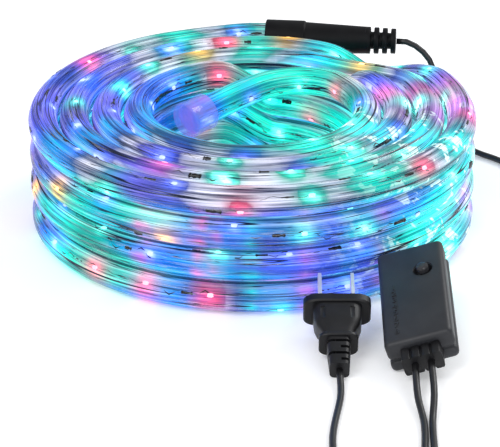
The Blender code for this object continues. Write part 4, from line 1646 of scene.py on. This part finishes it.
@dataclass
class Leads:
    """The black lead: boot to controller, then through its spare coil to the plug."""

    boot: Boot
    controller: Controller
    plug: Plug
    lead_d: float = 0.0027
    spare: tuple = (0.0360, -0.2520)
    spare_inner: float = 0.0126
    spare_turns: int = 3
    coil_pitch: float = 0.00275
    layer_rise: float = 0.00275
    reach: float = 0.12625
    pair_spacing: float = 0.0032
    tie_angle: float = 250.0
    straight: float = 0.0110
    spacing: float = 0.0045

    @property
    def floor(self) -> float:
        """The height of a lead's middle where it lies on the floor."""
        return self.lead_d / 2

    @property
    def pair(self) -> tuple[float, float]:
        """Where the controller's two leads come together in front of it."""
        left, right = self.controller.exit(-1.0)[0], self.controller.exit(1.0)[0]
        return (left.x + right.x) / 2, right.y - 0.0300

    def first_route(self) -> list[Vector]:
        """The route from the boot round the coil's right side to the controller."""
        along = self.boot.winding.boot_along
        start = Vector(self.boot.winding.boot_start) + along * (self.boot.length + CLEARANCE)
        end, out = self.controller.exit(1.0)
        floor, reach = self.floor, self.reach
        pair_x, pair_y = self.pair
        beside = pair_x + self.pair_spacing / 2
        hold = end + out * self.straight
        return [start, start + along * 0.0060 + Vector((0.0, 0.0, -0.0005)),
                Vector((0.0795, 0.0795, 0.0420)), Vector((0.0835, 0.0770, 0.0310)),
                Vector((0.0860, 0.0750, 0.0190)), Vector((0.0910, 0.0720, 0.0080)),
                Vector((0.1010, 0.0660, floor + 0.0004)), Vector((0.1150, 0.0520, floor)),
                Vector((reach, 0.0200, floor)), Vector((reach + 0.0010, -0.0300, floor)),
                Vector((reach - 0.0020, -0.0900, floor)), Vector((reach - 0.0130, -0.1600, floor)),
                Vector((reach - 0.0270, -0.2150, floor)), Vector((0.0854, -0.2416, floor)),
                Vector((0.0716, -0.2398, floor)), Vector((0.0646, -0.2230, floor)),
                Vector((beside - 0.0006, pair_y - 0.0150, floor)), Vector((beside, pair_y, floor)),
                Vector((end.x, hold.y - 0.0060, max(floor, hold.z - 0.0020))), end]

    def pitches_at(self, stage: float) -> float:
        """How many pitches a flat spiral has moved over: one at the end of each turn but its last.

        Args:
            stage: The turns made so far.

        Returns:
            The pitches.
        """
        level = min(stage // 1.0, self.spare_turns - 1)
        move = share((stage - level - 0.80) / 0.20)
        return level + (move if level < self.spare_turns - 1 else 0.0)

    def spare_coil(self) -> list[Vector]:
        """The spare lead's turns, clockwise: flat spirals in two layers, in and back out."""
        inner = self.spare_inner
        span = (self.spare_turns - 1) * self.coil_pitch
        outer = inner + span
        steps = 20 * self.spare_turns
        first, last = math.radians(30.0), math.radians(140.0)
        turns_in = self.spare_turns * math.tau
        turns_out = turns_in - (last - first)
        points = []
        for k in range(steps + 1):
            part = k / steps
            moved = self.pitches_at(part * self.spare_turns) * self.coil_pitch
            points.append((outer - moved, first - turns_in * part, 0.0))
        for k in range(1, steps + 1):
            part = k / steps
            stage = part * turns_out / math.tau
            moved = self.pitches_at(stage) * self.coil_pitch
            points.append((inner + moved, first - turns_in - turns_out * part, min(1.0, stage / 0.16)))
        cx, cy = self.spare
        return [Vector((cx + r * math.cos(a), cy + r * math.sin(a),
                        self.floor + rise * self.layer_rise)) for r, a, rise in points]

    def second_route(self) -> list[Vector]:
        """The route from the controller through the spare coil to the plug."""
        start, out = self.controller.exit(-1.0)
        end, plug_out = self.plug.exit
        floor = self.floor
        hold, last = start + out * self.straight, end + plug_out * 0.0080
        coil = self.spare_coil()
        pair_x, pair_y = self.pair
        beside = pair_x - self.pair_spacing / 2
        # From the gland to the spare coil, and from it to the plug
        head = [start, Vector((start.x, hold.y - 0.0060, max(floor, hold.z - 0.0020))),
                Vector((beside, pair_y, floor)), Vector((beside - 0.0006, pair_y - 0.0150, floor)),
                Vector((start.x - 0.0020, -0.2150, floor)),
                Vector((coil[0].x + 0.0012, coil[0].y + 0.0150, floor))]
        foot = [coil[-1] + Vector((0.0051, 0.0062, -0.0006)), Vector((coil[-1].x + 0.0068, -0.2235, floor)),
                Vector((end.x - 0.0040, end.y - 0.0450, floor)),
                Vector((end.x, last.y - 0.0060, max(floor, last.z - 0.0016))), end]
        return head + coil + foot

    def lay(self, name: str, knots: list[Vector], finish: bpy.types.Material, replaced: tuple,
            **facts: object) -> None:
        """Make one lead and log its length.

        Args:
            name: The piece's name.
            knots: The points it passes through.
            finish: Its sheath.
            replaced: The CAD nodes it takes the place of.
        """
        route = smooth_route(knots, self.spacing)
        for point in route:
            point.z = max(point.z, self.floor)
        piece = add_piece(name, tube_mesh(name, route, self.lead_d / 2, 12), finish, "light")
        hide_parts(*replaced)
        facts["lay"] != "coiled"
        route_length(route)
        LOG.info("%s: %.3f m", name, route_length(route))

    def make_tie(self, finish: bpy.types.Material) -> bpy.types.Object:
        """The twist tie round the spare coil."""
        half_span = self.coil_pitch * (self.spare_turns - 1) / 2
        half_w = half_span + self.lead_d / 2 + 0.0005
        turn = math.radians(self.tie_angle)
        out = Vector((math.cos(turn), math.sin(turn), 0.0))
        centre = Vector((*self.spare, 0.0)) + out * (self.spare_inner + half_span)
        high = self.layer_rise + self.lead_d
        band = block("tie", (2 * half_w + 0.0012, 0.0034, high + 0.0005),
                     (0.0, 0.0, high / 2 + 0.00035), 0.0007, 3)
        inside = block("tie_inside", (2 * half_w, 0.0060, high), (0.0, 0.0, high / 2))
        cut(band, [inside])
        frame = Matrix.Translation(centre) @ Matrix.Rotation(turn, 4, "Z")
        return settle(band, frame, finish, "light")

    def make(self, finish: bpy.types.Material, pieces: dict[str, list]) -> None:
        """Make both leads and the tie.

        Args:
            finish: The sheath's material.
            pieces: The controller's and the plug's pieces.
        """
        self.lay("lead_one", self.first_route(), finish, ("lead_to_controller",),
                 far_end="object", stiffness="medium", lay="loose")
        tie = self.make_tie(finish)
        self.lay("lead_two", self.second_route(), finish,
                 ("lead_from_controller", "lead_coil", "lead_to_plug"), far_end="plug",
                 stiffness="medium", lay="coiled", with_pieces=[*pieces["plug"], tie])


@dataclass
class Studio:
    """The pale floor, the soft lights and the camera."""

    elevation: float = 25.4
    distance: float = 1.011
    focal_px: float = 2353.0
    sensor: float = 36.0
    aim: tuple = (-0.001, 0.0, -0.0032)
    image: tuple = (500, 447)
    floor_size: float = 12.0
    floor_drop: float = 0.0002
    lights: tuple = (("key", (-0.7, -0.9, 1.3), 0.9, 13.0), ("rim", (0.9, 0.7, 1.0), 0.6, 9.0),
                     ("front", (0.5, -1.4, 0.6), 0.7, 6.0))

    def make(self) -> None:
        """Set up the studio."""
        self.make_camera()
        self.make_floor()
        self.make_lights()

    def make_camera(self) -> None:
        """The camera, at the photograph's angle."""
        lens = bpy.data.cameras.new("camera")
        lens.sensor_fit = "HORIZONTAL"
        lens.sensor_width = self.sensor
        lens.lens = self.focal_px * self.sensor / self.image[0]
        lens.clip_end = 20.0
        item = bpy.data.objects.new("camera", lens)
        bpy.context.scene.collection.objects.link(item)
        lift = math.radians(self.elevation)
        back = Vector((0.0, -math.cos(lift), math.sin(lift)))
        item.location = Vector(self.aim) + back * self.distance
        item.rotation_euler = back.to_track_quat("Z", "Y").to_euler()
        bpy.context.scene.camera = item

    def make_floor(self) -> None:
        """A plain pale floor."""
        fresh()
        bpy.ops.mesh.primitive_plane_add(size=self.floor_size, location=(0.0, 0.0, -self.floor_drop))
        floor = bpy.context.object
        floor.name = "floor"
        bench = Bench("floor_white")
        bench.set(Base_Color=(0.93, 0.93, 0.94), Roughness=0.7, Emission_Color=(1.0, 1.0, 1.0),
                  Emission_Strength=0.22)
        floor.data.materials.append(bench.material)

    def make_lights(self) -> None:
        """Large soft lights and a pale surround."""
        world = bpy.data.worlds.new("surround")
        world.use_nodes = True
        sky = world.node_tree.nodes["Background"]
        sky.inputs["Color"].default_value = (0.95, 0.97, 1.0, 1.0)
        sky.inputs["Strength"].default_value = 0.55
        bpy.context.scene.world = world
        for name, place, size, power in self.lights:
            lamp = bpy.data.lights.new(name, "AREA")
            lamp.energy = power
            lamp.size = size
            item = bpy.data.objects.new(name, lamp)
            bpy.context.scene.collection.objects.link(item)
            item.location = place
            item.rotation_euler = Vector(place).to_track_quat("Z", "Y").to_euler()
        bpy.context.scene.view_settings.view_transform = "Standard"


def main() -> None:
    """Build the rope light on its frame and report each piece."""
    logging.basicConfig(level=logging.INFO, format="%(name)s: %(message)s", stream=sys.stdout)
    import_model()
    Studio().make()
    winding = Winding()
    winding.make()
    lamps = Lamps(winding)
    lamps.make()
    rope = RopeLight(winding, lamps)
    black = MouldedPlastic("moulded_black", (0.004, 0.004, 0.005), (0.012, 0.012, 0.014), 0.44).make()
    charcoal = MouldedPlastic("case_charcoal", (0.020, 0.021, 0.025), (0.031, 0.033, 0.037), 0.46).make()
    dark = MouldedPlastic("button_black", (0.022, 0.022, 0.025), (0.05, 0.05, 0.055), 0.24).make()
    jet = MouldedPlastic("boot_black", (0.002, 0.002, 0.003), (0.006, 0.006, 0.007), 0.50, 0.14).make()
    boot = Boot(winding)
    boot.make(jet)
    cap = Cap().make(CapPlastic().make())
    rope.make(cap)
    controller, plug = Controller(), Plug()
    pieces = {"controller": controller.make(charcoal, dark, black),
              "plug": plug.make(black, PlatedMetal().make())}
    Leads(boot, controller, plug).make(LeadSheath().make(), pieces)


if __name__ == "__main__":
    main()
